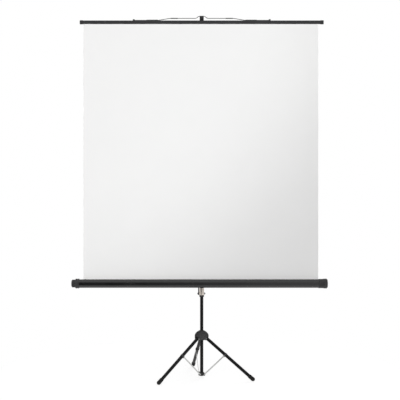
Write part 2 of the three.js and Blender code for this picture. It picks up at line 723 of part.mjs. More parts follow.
// Housing, end caps, roller with its spring, and the tension knob at the left end
function addCase() {
  const intoCase = (shape) => shape.applyMatrix4(ontoX).translate(0, caseY, caseCentreZ);
  const hollow = octagon(caseFlat - 2 * caseWall, caseCorner - caseWall);
  const shell = cut(
    extruded(octagon(caseFlat, caseCorner), housingLeft, housingRight, cornerSteps),
    extruded(hollow, 2 * housingLeft, 2 * housingRight, cornerSteps),
  );
  const slotHalf = fabricThickness / 2 + caseSlotGap;
  const slot = new THREE.BoxGeometry(4 * caseRight, 2 * slotHalf, caseFlat);
  slot.translate(0, fabricY, caseCentreZ + caseFlat / 2);
  piece(model, 'case_housing', cut(intoCase(geometryOf(shell)), slot, ...plateScrewHoles()), blackPaint);

  const leftEnd = caseLeft;
  const leftLip = leftEnd + capRingLength;
  const shaftBore = tensionShaftRadius + slideGap;
  const leftCap = turned([
    [shaftBore, leftEnd], [capRadius - capFillet, leftEnd], [capRadius, leftEnd + capFillet],
    [capRadius, leftLip - capFillet], [capBore + seatGap, leftLip], [capBore, leftLip],
    [capBore, leftEnd + capDisc], [shaftBore, leftEnd + capDisc], [shaftBore, leftEnd],
  ], wideSides);
  piece(model, 'left_end_cap', intoCase(leftCap), plastic);

  const rightEnd = caseRight;
  const rightLip = rightEnd - rightCapSleeve;
  const flareStart = rightEnd - capRingLength;
  const bearingBore = springRodRadius + slideGap;
  const bearingFace = rightEnd - bearingDisc;
  const bearingEnd = bearingFace + bearingDepth;
  const sleeveRadius = capBore + seatGap;
  const rightCap = turned([
    [bearingBore, bearingFace], [capBore, bearingFace], [capBore, rightLip], [sleeveRadius, rightLip],
    [sleeveRadius, flareStart - capFillet], [capRadius, flareStart + capFillet],
    [capRadius, rightEnd - capFillet], [capRadius - capFillet, rightEnd], [0, rightEnd],
    [0, bearingEnd], [bearingBore, bearingEnd], [bearingBore, bearingFace],
  ], wideSides);
  piece(model, 'right_end_cap', intoCase(rightCap), plastic);

  const knobFace = leftEnd - seatGap;
  const shaftTip = knobFace + tensionShaftLength;
  const socket = shaftTip - springRodSocket;
  const rodBore = springRodRadius + slideGap;
  const knobEnd = knobFace - tensionKnobLength;
  const tensionKnob = turned([
    [0, knobEnd], [tensionKnobRadius - capFillet, knobEnd], [tensionKnobRadius, knobEnd + capFillet],
    [tensionKnobRadius, knobFace], [tensionShaftRadius, knobFace], [tensionShaftRadius, shaftTip],
    [rodBore, shaftTip], [rodBore, socket], [0, socket],
  ], wideSides);
  piece(model, 'tension_knob', intoCase(tensionKnob), plastic);

  const rollerBore = rollerRadius - rollerWall;
  const plugRadius = rollerBore - slideGap;
  piece(model, 'roller_tube', intoCase(ring(rollerRadius, rollerBore, rollerLeft, rollerRight)), steel);
  const leftPlug = ring(plugRadius, shaftBore, rollerLeft, rollerLeft + rollerPlugLength);
  piece(model, 'roller_plug_left', intoCase(leftPlug), plastic);
  const springStart = shaftTip + springWire / 2 + seatGap;
  const springEnd = springStart + springLength;
  const anchorStart = springEnd + springWire / 2 + seatGap;
  const anchorEnd = anchorStart + rollerPlugLength;
  piece(model, 'roller_spring_plug', intoCase(ring(plugRadius, rodBore, anchorStart, anchorEnd)), plastic);
  const springRod = rod(springRodRadius, socket + seatGap, anchorEnd + springRodTail);
  piece(model, 'spring_rod', intoCase(springRod), steel);
  const coilRadius = (springRodRadius + rollerBore) / 2;
  const coil = new Helix(coilRadius, springStart, springEnd);
  piece(model, 'roller_spring', intoCase(wire(coil, springWire / 2, springTurns * coilSteps)), steel);

  const plugFace = rollerRight - rollerPlugLength;
  const axleEnd = bearingEnd - seatGap;
  const rightPlug = turned([
    [0, plugFace], [plugRadius, plugFace], [plugRadius, rollerRight], [springRodRadius, rollerRight],
    [springRodRadius, axleEnd], [0, axleEnd],
  ]);
  piece(model, 'roller_plug_right', intoCase(rightPlug), plastic);

  const rollBore = rollerRadius + slideGap;
  const roll = ring(rollRadius, rollBore, fabricLeft, fabricLeft + fabricWidth);
  piece(model, 'fabric_roll', intoCase(roll), screenWhite);
}

// The spring's centre line, a helix along Z
class Helix extends THREE.Curve {
  constructor(radius, start, end) {
    super();
    this.radius = radius;
    this.start = start;
    this.end = end;
  }

  getPoint(t, target = new THREE.Vector3()) {
    const angle = 2 * Math.PI * springTurns * t;
    const height = this.start + (this.end - this.start) * t;
    return target.set(this.radius * Math.cos(angle), this.radius * Math.sin(angle), height);
  }
}

// White screen between the roller and the batten, and the batten's bail
function addScreen() {
  const fabricTop = battenCentreZ - battenHeight / 2 + battenGrip;
  const sheet = new THREE.BoxGeometry(fabricWidth, fabricThickness, fabricTop - caseCentreZ);
  sheet.translate(fabricShift, fabricY, (fabricTop + caseCentreZ) / 2);
  piece(model, 'screen_fabric', sheet, screenWhite);

  const atBatten = (shape) => shape.applyMatrix4(ontoX).translate(0, fabricY, battenCentreZ);
  const cutHalf = 2 * battenTubeHalf;
  const wallDepth = 2 * battenWall;
  const hollow = stadium(battenDepth - wallDepth, battenHeight - wallDepth);
  const bar = cut(
    extruded(stadium(battenDepth, battenHeight), -battenTubeHalf, battenTubeHalf),
    extruded(hollow, -cutHalf, cutHalf),
    box(-battenSlot / 2, battenSlot / 2, -battenHeight, 0, -cutHalf, cutHalf),
  );
  piece(model, 'batten_tube', atBatten(geometryOf(bar)), charcoal);

  for (const [name, side] of [['left', -1], ['right', 1]]) {
    const near = battenTubeHalf + seatGap;
    const wider = 2 * battenCapLip;
    const outer = extruded(stadium(battenDepth + wider, battenHeight + wider), near, battenHalf);
    const narrower = wallDepth + 2 * slideGap;
    const plugOutline = stadium(battenDepth - narrower, battenHeight - narrower);
    const plug = extruded(plugOutline, near - battenCapPlug, near + battenCapLip);
    const notch = box(-battenSlot, battenSlot, -battenHeight, 0, near - 2 * battenCapPlug, near - seatGap);
    const facing = new THREE.Matrix4().makeRotationY(side > 0 ? 0 : Math.PI);
    const cap = geometryOf(cut(join(outer, plug), notch)).applyMatrix4(facing);
    piece(model, `batten_cap_${name}`, atBatten(cap), plastic);
  }
  addBail(atBatten);
}

// Spring wire bail: straight journals along the batten, rising to a flat and a peak on the hook
function addBail(atBatten) {
  const lean = THREE.MathUtils.degToRad(bailLean);
  const bailPoint = (x, reach) => new THREE.Vector3(
    x,
    fabricY + bailJournalSetback + reach * Math.sin(lean),
    battenCentreZ + bailJournalRise + reach * Math.cos(lean),
  );
  const halfBail = [
    [bailPeakHalf, bailPeak], [bailPeakHalf + bailPeakSlope, bailFlat], [bailKneeInner, bailFlat],
    [bailKneeOuter, 0], [bailEnd, 0],
  ];
  const points = [
    ...halfBail.map(([x, reach]) => bailPoint(-x, reach)).reverse(),
    ...halfBail.map(([x, reach]) => bailPoint(x, reach)),
  ];
  piece(model, 'bail_wire', wire(bentPath(points, bailBend), bailWireRadius, bailSteps), steel);

  const journal = bailPoint(0, 0);
  for (const [name, side] of [['left', -1], ['right', 1]]) {
    const gripStart = bailKneeOuter + bailBend;
    const grip = ring(bailGripRadius, bailWireRadius + slideGap, gripStart, gripStart + bailGripLength);
    const facing = new THREE.Matrix4().makeRotationY(side > 0 ? 0 : Math.PI);
    const gripShape = grip.applyMatrix4(facing).applyMatrix4(ontoX);
    piece(model, `bail_grip_${name}`, gripShape.translate(0, journal.y, journal.z), plastic);

    const middle = bailEnd - clipBlockLength / 4;
    const low = middle - clipBlockLength / 2;
    const high = middle + clipBlockLength / 2;
    const cutLow = low - clipBlockLength;
    const cutHigh = high + clipBlockLength;
    const block = extruded(stadium(battenDepth + clipBlockMargin, battenHeight + clipBlockMargin), low, high);
    const lug = rod(bailWireRadius + clipBlockMargin, low, high);
    const channel = extruded(stadium(battenDepth + 2 * seatGap, battenHeight + 2 * seatGap), cutLow, cutHigh);
    const lowerHalf = box(-2 * battenDepth, 2 * battenDepth, -2 * battenHeight, 0, cutLow, cutHigh);
    const wireHole = rod(bailWireRadius + slideGap, cutLow, cutHigh);
    for (const round of [lug, wireHole]) round.translate(bailJournalSetback, bailJournalRise, 0);
    const clip = geometryOf(cut(join(block, lug), channel, lowerHalf, wireHole));
    if (side < 0) clip.applyMatrix4(new THREE.Matrix4().makeScale(1, 1, -1)).index.array.reverse();
    piece(model, `bail_clip_${name}`, atBatten(clip), plastic);
  }
}

// Hook on the extension tube: a socket over the tube and an arm reaching forward under the bail's peak
function addHook() {
  const low = battenCentreZ - hookSocketBottom;
  const top = battenCentreZ + hookSocketTop;
  const half = hookWidth / 2;
  const seat = peakZ - bailWireRadius - seatGap;
  const front = peakY - hookNose;
  const outline = new THREE.Shape([
    [half, low], [half, top], [peakY + 2 * hookNose, seat + hookRearWall],
    [peakY + 2 * bailWireRadius, seat + hookRearWall], [peakY + bailWireRadius + seatGap, seat],
    [peakY - bailWireRadius - seatGap, seat], [peakY - bailWireRadius - hookLip, seat + hookLip],
    [front, seat + hookLip], [front, seat - hookArm], [-half, low + hookArm], [-half, low],
  ].map(([y, z]) => new THREE.Vector2(y, z)));
  const body = extruded(outline, -half, half).applyMatrix4(ontoX);
  const bore = rod(extensionRadius + slideGap, low - hookSocketBottom, extensionTop + seatGap);
  piece(model, 'mast_top_hook', cut(body, bore), plastic);
}

addMast();
addHub();
Object.keys(legAzimuths).forEach(addLeg);
addStrutCollar();
addHeightClamp();
addCasePivot();
addExtensionClamp();
addCase();
addScreen();
addHook();

// The origin is under the middle of the whole object, on the floor
const bounds = new THREE.Box3().setFromObject(model);
const middle = bounds.getCenter(new THREE.Vector3());
model.position.set(-middle.x, -middle.y, -bounds.min.z);

const screen = new THREE.Group();
screen.add(model);
export default screen;
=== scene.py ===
"""Looks of a tripod projection screen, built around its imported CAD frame.

Every piece is a surface worked out with numpy in the frame's metres, +Z up, with the screen facing -Y.
Places and main sizes are read from the CAD nodes, joints and mounts. The property groups hold the rest.
"""
import json
from math import atan2, cos, pi, radians, sin, sqrt

import bmesh
import bpy
import numpy as np
from bpy.props import FloatProperty, FloatVectorProperty, IntProperty, PointerProperty
from bpy.types import Operator, Panel, PropertyGroup
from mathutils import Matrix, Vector

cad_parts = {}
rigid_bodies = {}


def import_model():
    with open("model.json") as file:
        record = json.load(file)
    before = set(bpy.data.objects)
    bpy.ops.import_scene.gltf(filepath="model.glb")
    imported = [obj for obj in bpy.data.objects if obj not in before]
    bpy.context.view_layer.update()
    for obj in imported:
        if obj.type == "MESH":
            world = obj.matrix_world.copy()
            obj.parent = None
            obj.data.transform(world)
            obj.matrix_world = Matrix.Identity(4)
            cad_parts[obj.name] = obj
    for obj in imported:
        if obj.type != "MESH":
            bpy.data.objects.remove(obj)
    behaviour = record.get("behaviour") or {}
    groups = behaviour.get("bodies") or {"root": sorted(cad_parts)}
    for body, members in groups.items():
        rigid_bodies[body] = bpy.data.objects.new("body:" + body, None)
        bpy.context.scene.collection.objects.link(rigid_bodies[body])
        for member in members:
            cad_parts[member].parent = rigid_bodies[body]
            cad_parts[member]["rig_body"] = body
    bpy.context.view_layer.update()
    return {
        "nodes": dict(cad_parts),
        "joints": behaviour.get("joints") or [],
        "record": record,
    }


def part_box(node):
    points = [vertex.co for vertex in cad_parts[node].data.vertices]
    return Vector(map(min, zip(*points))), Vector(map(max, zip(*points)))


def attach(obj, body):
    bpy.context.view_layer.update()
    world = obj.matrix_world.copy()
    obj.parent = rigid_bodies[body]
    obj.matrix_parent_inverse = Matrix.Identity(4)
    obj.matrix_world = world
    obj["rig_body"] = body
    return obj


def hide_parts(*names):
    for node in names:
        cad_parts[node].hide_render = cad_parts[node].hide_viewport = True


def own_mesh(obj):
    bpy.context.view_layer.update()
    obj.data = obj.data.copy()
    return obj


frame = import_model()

bl_info = {
    "name": "Tripod Projection Screen",
    "version": (1, 0, 0),
    "blender": (4, 5, 0),
    "location": "View3D > Sidebar > Screen",
    "description": "Dresses the frame of a tripod projection screen with cloth, metal, plastic and rubber",
    "category": "Object",
}

NODES = frame["nodes"]
JOINTS = {joint["name"]: joint for joint in frame["joints"]}
MOUNTS = {mount["name"]: mount for mount in frame["record"]["mounts"]}
SIDES = ("right", "rear", "left")
X_AXIS, Y_AXIS, Z_AXIS = np.eye(3)
IMAGE_SIZE = 400
SAME_POINT = 1e-6
LAMP_AIM_HEIGHT = 1.35
# Name, place and side of each soft box, and the setting that holds its power
SOFT_BOXES = (
    ("Key light", (-3.2, -4.6, 3.3), 2.6, "key_power"),
    ("Fill light", (3.6, -3.6, 1.6), 2.4, "fill_power"),
    ("Front light", (0.3, -6.6, 1.7), 4.0, "front_power"),
    ("Back light", (1.5, 4.4, 3.0), 2.6, "back_power"),
)
# Place of the cloth light, and x and z of the point that it faces in the plane of the cloth
SPOT_PLACE = (-1.4, -9.1, 3.3)
SPOT_AIM = (-2.2, 3.58)
# Direction of the dark opening in reflections: towards the front, a little left of the camera
OPENING = (-0.36, -0.93, -0.06)
# Share, number across the cloth, phase and lean of each set of soft waves in the cloth
RIPPLES = ((0.6, 1.4, 0.7, 0.9), (0.4, 2.6, 2.0, -1.3))


def number(name, description, default, **settings):
    """A property for a number, with any other settings."""
    return FloatProperty(name=name, description=description, default=default, **settings)


def count(name, description, default):
    """A property for a whole number of lobes or flutes."""
    return IntProperty(name=name, description=description, default=default, min=3)


def length(name, description, default):
    """A property for a size in metres."""
    return number(name, description, default, min=0.0, unit="LENGTH", precision=5)


def power(name, description, default):
    """A property for a lamp's power in watts."""
    return number(name, description, default, unit="POWER")


def share(name, description, default):
    """A property between 0 and 1."""
    return number(name, description, default, subtype="FACTOR", min=0.0, max=1.0)


def tone(name, description, default):
    """A property for a linear colour."""
    return FloatVectorProperty(name=name, description=description, default=default, min=0.0, max=1.0, size=3,
                               subtype="COLOR")


class ScreenSizes(PropertyGroup):
    """Detail sizes that the frame doesn't hold."""

    edge: length("Edge", "Rounding of sawn and pressed metal edges", 0.0006)
    moulded_edge: length("Moulded edge", "Rounding of moulded plastic edges", 0.0016)
    tube_wall: length("Tube wall", "Wall of the mast and roller tubes", 0.0013)
    case_wall: length("Case wall", "Sheet thickness of the case", 0.0012)
    case_corner: length("Case corner", "Rounding of the case's eight corners", 0.006)
    slot_lip: length("Slot lip", "Depth of the folded lips along the case's slot", 0.0035)
    cloth_ripple: length("Cloth ripple", "Depth of the soft waves in the hanging cloth", 0.0012)
    leg_wall: length("Leg wall", "Wall of the leg tubes", 0.0012)
    cap_wall: length("Cap wall", "Wall of the case's end caps and of the clips on the batten", 0.0022)
    batten_wall: length("Batten wall", "Sheet thickness of the batten", 0.0014)
    batten_slot: length("Batten slot", "Half the width of the batten's slot for the cloth", 0.001)
    strut_width: length("Strut width", "Width of the flat struts", 0.009)
    strut_thickness: length("Strut thickness", "Thickness of the flat struts", 0.002)
    foot_ball_height: length("Foot height", "Height of each foot's round end above the floor", 0.0115)
    clip_distance: length("Clip distance", "From a leg's pin to its strut clip", 0.166)
    clip_drop: length("Clip drop", "From a leg's axis down to its strut pivot", 0.008)
    clip_wall: length("Clip wall", "Thickness of the strut clips' bands", 0.0015)
    rivet_head: length("Rivet head", "Radius of the struts' rivet heads", 0.0045)
    collar_neck: length("Collar neck", "Radius of the foot collar above its flange", 0.016)
    collar_flange: length("Collar flange", "Radius of the foot collar's flange", 0.023)
    flange_height: length("Flange height", "Thickness of the foot collar's flange", 0.005)
    clamp_ear_height: length("Clamp ear height", "Height of the clamp's two ears", 0.018)
    fit: length("Fit", "Gap between pieces that slide or turn on each other", 0.0003)
    snug: length("Snug fit", "Gap between pieces that are pressed together", 0.0002)
    fitting_edge: length("Fitting edge", "Rounding of moulded CAD parts that stay in view", 0.0007)
    dome_wall: length("Dome wall", "Thickness of the hub's cover", 0.0024)
    dome_rise: length("Dome rise", "From the cover's shoulder to its top, on the mast's axis", 0.040)
    dome_crown: length("Dome crown", "Thickness of the cover's crown", 0.0053)
    dome_power: number("Dome power", "Exponent p of (r / R)^p + (z / rise)^2 = 1, 2 for an ellipse", 1.3)
    arch_half: length("Arch half width", "Half the width of the cover's arch over each leg", 0.027)
    arch_rise: length("Arch rise", "From the cover's rim to the top of its arches", 0.019)
    knob_lobes: count("Knob lobes", "Lobes on each hand knob", 6)
    knob_depth: length("Knob depth", "Height of each hand knob's head", 0.014)
    dial_flutes: count("Dial flutes", "Flutes round the tension knob", 36)
    bail_bend: length("Bail bend", "Rounding of the bail wire's bends", 0.012)
    bail_flat: length("Bail flat", "Height of the bail's long straight runs above its pivot", 0.0152)
    bail_knee: length("Bail knee", "From the middle to where the bail turns down", 0.211)
    bail_journal: length("Bail journal", "From the middle to the bail's straight ends", 0.284)
    cuff_start: length("Cuff start", "From the middle to the inner end of each cuff", 0.158)
    cuff_end: length("Cuff end", "From the middle to the outer end of each cuff", 0.205)


class ScreenColours(PropertyGroup):
    """Colours of the finishes."""

    black_paint: tone("Black paint", "Powder coat on the case", (0.0050, 0.0051, 0.0053))
    tube_paint: tone("Tube paint", "Semi-matt black on the mast and legs", (0.0042, 0.0042, 0.0044))
    charcoal_paint: tone("Charcoal paint", "Powder coat on the batten", (0.026, 0.0265, 0.027))
    zinc: tone("Zinc", "Plating on the clamp", (0.65, 0.592, 0.535))
    bright_zinc: tone("Bright zinc", "Plating on the struts and the extension", (0.62, 0.62, 0.61))
    steel: tone("Steel", "Pins, bolts and screws", (0.45, 0.45, 0.45))
    wire: tone("Wire", "Spring wire of the bail", (0.085, 0.085, 0.088))
    plastic: tone("Plastic", "Caps, knobs, hook and collar", (0.0150, 0.0150, 0.0155))
    textured: tone("Textured plastic", "Cover of the leg hub", (0.060, 0.060, 0.061))
    rubber: tone("Rubber", "Feet", (0.011, 0.011, 0.011))
    cloth_front: tone("Cloth front", "Matt white coating", (0.86, 0.86, 0.857))
    cloth_back: tone("Cloth back", "Dark backing", (0.045, 0.045, 0.047))
    floor: tone("Floor", "Studio floor", (0.82, 0.82, 0.82))


class StageSettings(PropertyGroup):
    """Camera and light."""

    camera_height: length("Camera height", "Height of the level camera above the floor", 1.18)
    camera_distance: length("Camera distance", "From the camera to the cloth", 5.36)
    camera_left: length("Camera left", "How far the camera stands left of the mast", 0.0113)
    focal_pixels: number("Focal length", "In pixels of the square picture", 812.0)
    key_power: power("Key light", "Soft box at the upper left", 30.0)
    fill_power: power("Fill light", "Soft box at the right", 37.0)
    front_power: power("Front light", "Wide soft box over the camera", 231.0)
    back_power: power("Back light", "Soft box behind", 90.0)
    cloth_power: power("Cloth light", "Soft spot on the cloth's upper left", 1005.0)
    spot_size: number("Spot size", "Full angle of the cloth light", 0.857, subtype="ANGLE")
    spot_blend: share("Spot blend", "Soft share of the cloth light's edge", 0.42)
    spot_radius: length("Spot radius", "Radius of the cloth light's source", 0.35)
    ambient: number("Ambient", "Level of the surroundings as light on the object", 0.12)
    room: share("Room", "Level of the dark opening in reflections", 0.05)
    opening_edge: share("Opening edge", "Cosine of the dark opening's outer angle", 0.87)
    opening_core: share("Opening core", "Cosine of the angle within which it is fully dark", 0.955)
    shadow: share("Shadow", "How much of the shadow the floor shows", 0.55)
    floor_radius: length("Floor radius", "Radius of the round studio floor", 1.4)
    floor_level: number("Floor level", "How light the bare floor is under the lamps", 0.335)


# Places read from the frame

def unit(vector):
    """The vector divided by its length."""
    vector = np.asarray(vector, float)
    return vector / np.linalg.norm(vector)


def node_points(node):
    """All corners of a CAD node, as rows of x, y, z."""
    vertices = NODES[node].data.vertices
    points = np.empty(3 * len(vertices))
    vertices.foreach_get("co", points)
    return points.reshape(-1, 3)


def reach(node, direction, origin=(0.0, 0.0, 0.0)):
    """Least and greatest of (point - origin) . direction, over a node's corners."""
    along = (node_points(node) - np.asarray(origin)) @ unit(direction)
    return along.min(), along.max()


def half_width(node, direction):
    """Half a node's width along a direction."""
    return np.ptp(reach(node, direction)) / 2


def round_size(node, axis, side, origin=(0.0, 0.0, 0.0)):
    """A round node's two ends along its axis, and its radius, from its width along a side."""
    return *reach(node, axis, origin), half_width(node, side)


def middle(node):
    """Centre of a node's box."""
    low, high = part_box(node)
    return np.array(low + high) / 2


def joint_place(name):
    """A hinge's point, in metres."""
    return np.array(JOINTS[name]["pos_m"], float)


MAST = middle("mast_lower_tube") * (1, 1, 0)


# Surfaces

def across(axis):
    """Two unit vectors at right angles to an axis and to each other."""
    helper = X_AXIS if abs(unit(axis)[2]) > 0.9 else Z_AXIS
    first = unit(np.cross(helper, axis))
    return first, np.cross(unit(axis), first)


def shell(grid, wrap_rows=False, worn=0.0):
    """Corners, quads, end faces and wear of a closed surface through a grid of points.

    Rows follow a profile or path and columns go round it. Neighbouring points make quads, and an open first
    or last row that isn't a single point is closed by one flat face. worn is 0 to 1 for each row.
    """
    rows, columns = grid.shape[:2]
    index = np.arange(rows * columns).reshape(rows, columns)
    below = index if wrap_rows else index[:-1]
    above = np.roll(index, -1, 0) if wrap_rows else index[1:]
    quads = np.stack((below, np.roll(below, -1, 1), np.roll(above, -1, 1), above), -1)
    open_rows = () if wrap_rows else (0, -1)
    ends = [index[row] for row in open_rows if np.ptp(grid[row], axis=0).max() > SAME_POINT]
    wear = np.broadcast_to(np.reshape(worn, (-1, 1)), (rows, columns))
    return grid.reshape(-1, 3), quads.reshape(-1, 4), ends, np.asarray(wear, float).reshape(-1)


def rounded(corners, radius, steps=4, closed=False):
    """A polyline with its corners rounded, and 1 for each point that lies on a rounding.

    A corner c becomes the curve (1-t)^2 a + 2t(1-t) c + t^2 b, where a and b lie on its two edges, at the
    distance radius or half the edge, whichever is less.
    """
    corners = np.asarray(corners, float)
    radii = np.broadcast_to(radius, len(corners))[:, None]
    before, after = np.roll(corners, 1, 0), np.roll(corners, -1, 0)
    ends = []
    for neighbour in (before, after):
        edge = neighbour - corners
        size = np.linalg.norm(edge, axis=1, keepdims=True)
        ends.append(corners + edge * np.minimum(radii / np.maximum(size, 1e-12), 0.5))
    t = np.linspace(0, 1, steps + 1)[None, :, None]
    arcs = (1 - t) ** 2 * ends[0][:, None] + 2 * t * (1 - t) * corners[:, None] + t ** 2 * ends[1][:, None]
    if closed:
        points = arcs.reshape(-1, corners.shape[1])
        return points, np.ones(len(points))
    inner = arcs[1:-1].reshape(-1, corners.shape[1])
    points = np.concatenate((corners[:1], inner, corners[-1:]))
    return points, np.concatenate(([0.0], np.ones(len(inner)), [0.0]))


def round_loop(corners, radius, steps=4):
    """A closed outline with its corners rounded."""
    return rounded(corners, radius, steps, closed=True)[0]


def turned(corners, origin, axis, radius=0.0, sides=48, scale=None, steps=4, closed=False):
    """A profile of (distance from axis, height) turned about an axis.

    P = origin + r (cos a e1 + sin a e2) + h axis. radius rounds the profile's corners. scale(r, h, a) gives
    a factor for r, for lobes and flutes. A closed profile makes a ring or tube, and an open one starts and
    ends on the axis.
    """
    profile, worn = rounded(corners, radius, steps, closed)
    angle = np.linspace(0, 2 * pi, sides, endpoint=False)[None, :]
    r, h = profile[:, :1], profile[:, 1:]
    first, second = across(axis)
    r = r * scale(r, h, angle) if scale else r + 0 * angle
    ring = (r * np.cos(angle))[..., None] * first + (r * np.sin(angle))[..., None] * second
    grid = np.asarray(origin) + ring + h[..., None] * unit(axis)
    return shell(grid, wrap_rows=closed, worn=worn)


def tube(origin, axis, outer, inner, low, high, edge, sides=48):
    """A tube with rounded ends: a closed rectangle of wall by length, turned about its axis."""
    wall = ((inner, low), (outer, low), (outer, high), (inner, high))
    return turned(wall, origin, axis, edge, sides, closed=True)


def groove(radius, start, end, depth, slope):
    """Profile points of a groove with sloping sides; with a depth below 0 it is a raised ring."""
    floor = radius - depth
    return (radius, start), (floor, start + slope), (floor, end - slope), (radius, end)


def outline_normals(outline):
    """Unit normals of a closed anticlockwise outline, from the difference of each point's two neighbours."""
    tangent = np.roll(outline, -1, 0) - np.roll(outline, 1, 0)
    tangent /= np.maximum(np.linalg.norm(tangent, axis=1, keepdims=True), 1e-12)
    return np.stack((tangent[:, 1], -tangent[:, 0]), -1)


def prism(outline, origin, first, second, axis, low, high, edge=0.0, steps=3):
    """A closed outline carried along a straight axis, with its two ends rounded.

    At the angle q of an end's rounding the outline is drawn in by edge (1 - cos q) and lies edge (1 - sin q)
    from the end.
    """
    outline = np.asarray(outline, float)
    q = np.linspace(pi / 2, 0, steps + 1) if edge else np.zeros(1)
    inset = edge * (1 - np.cos(q))
    depth = edge * (1 - np.sin(q))
    height = np.concatenate((low + depth, high - depth[::-1]))
    inset = np.concatenate((inset, inset[::-1]))
    flat = outline[None] - inset[:, None, None] * outline_normals(outline)[None]
    grid = (np.asarray(origin) + flat[..., :1] * np.asarray(first) + flat[..., 1:] * np.asarray(second)
            + height[:, None, None] * unit(axis))
    worn = (inset > 0).astype(float)
    return shell(grid, worn=worn)


def beam(outline, origin, low, high, edge=0.0, steps=3):
    """A closed outline of (y, z) carried along X, as a prism."""
    return prism(outline, origin, Y_AXIS, Z_AXIS, X_AXIS, low, high, edge, steps)


def stadium(width, height, steps=12):
    """A rectangle with half-round ends, long in its second direction."""
    a = np.linspace(0, pi, steps + 1)
    arc = np.stack((np.cos(a), np.sin(a)), -1) * width / 2
    lift = np.array((0, height / 2 - width / 2))
    return np.concatenate((arc + lift, -arc - lift))


def wire(path, normal, radius, sides=12):
    """A round wire on a flat path with the normal n: P = path + radius (cos a n + sin a (n x tangent))."""
    tangent = np.gradient(path, axis=0)
    tangent /= np.linalg.norm(tangent, axis=1, keepdims=True)
    side = np.cross(unit(normal), tangent)
    angle = np.linspace(0, 2 * pi, sides, endpoint=False)[None, :, None]
    grid = path[:, None] + radius * (np.cos(angle) * unit(normal) + np.sin(angle) * side[:, None])
    return shell(grid)


# Pieces

def piece(name, node, look, *shells, sharp=42.0, slot=None):
    """An object made of closed shells, which stands for a CAD node and rides on its body.

    look names its finish. Edges sharper than sharp, in degrees, aren't smoothed.
    The argument slot is not used.
    """
    corners, faces, wear = [], [], []
    start = 0
    for points, quads, ends, worn in shells:
        corners.append(points)
        wear.append(worn)
        faces += (quads + start).tolist() + [(end + start).tolist() for end in ends]
        start += len(points)
    mesh = bpy.data.meshes.new(name)
    mesh.from_pydata(np.concatenate(corners).tolist(), [], faces)
    mesh.attributes.new("worn", "FLOAT", "POINT").data.foreach_set("value", np.concatenate(wear))
    work = bmesh.new()
    work.from_mesh(mesh)
    bmesh.ops.remove_doubles(work, verts=work.verts, dist=SAME_POINT)
    bmesh.ops.recalc_face_normals(work, faces=work.faces)
    work.to_mesh(mesh)
    work.free()
    mesh.shade_smooth()
    mesh.set_sharp_from_angle(angle=radians(sharp))
    obj = bpy.data.objects.new(name, mesh)
    bpy.context.scene.collection.objects.link(obj)
    mesh.materials.append(material_of(look))
    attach(obj, NODES[node]["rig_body"])
    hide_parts(node)
    return obj


def slot_of(node):
    """The record's material slot of a CAD node."""
    return next(part["material_slot"] for part in frame["record"]["subparts"] if part["node"] == node)


def dress(node, look, edge):
    """Gives a CAD node that stays in view a finish and rounded edges; flat triangles are joined first."""
    obj = NODES[node]
    obj.data.materials.clear()
    obj.data.materials.append(material_of(look))
    obj.modifiers.new("Weld", "WELD").merge_threshold = SAME_POINT
    flat = obj.modifiers.new("Flat faces", "DECIMATE")
    flat.decimate_type = "DISSOLVE"
    flat.angle_limit = radians(1)
    round_edges(obj, edge, 35)


def round_edges(obj, width, angle):
    """Rounds an object's edges sharper than an angle in degrees."""
    bevel = obj.modifiers.new("Edges", "BEVEL")
    bevel.limit_method = "ANGLE"
    bevel.angle_limit = radians(angle)
    bevel.width = width
    bevel.segments = 2


# Finishes

# Places of a Mix node's colour sockets among its inputs and outputs
MIX_FIRST, MIX_SECOND, MIX_RESULT = 6, 7, 2
# Radians of a band texture to a unit of its scale
BAND_RADIANS = 20.0


def add_node(tree, kind, inputs=None, **settings):
    """A new shader node with its settings, and with its inputs linked to sockets or set to values."""
    node = tree.nodes.new(kind)
    for key, value in settings.items():
        setattr(node, key, value)
    for key, value in (inputs or {}).items():
        if isinstance(value, bpy.types.NodeSocket):
            tree.links.new(value, node.inputs[key])
        else:
            node.inputs[key].default_value = value
    return node


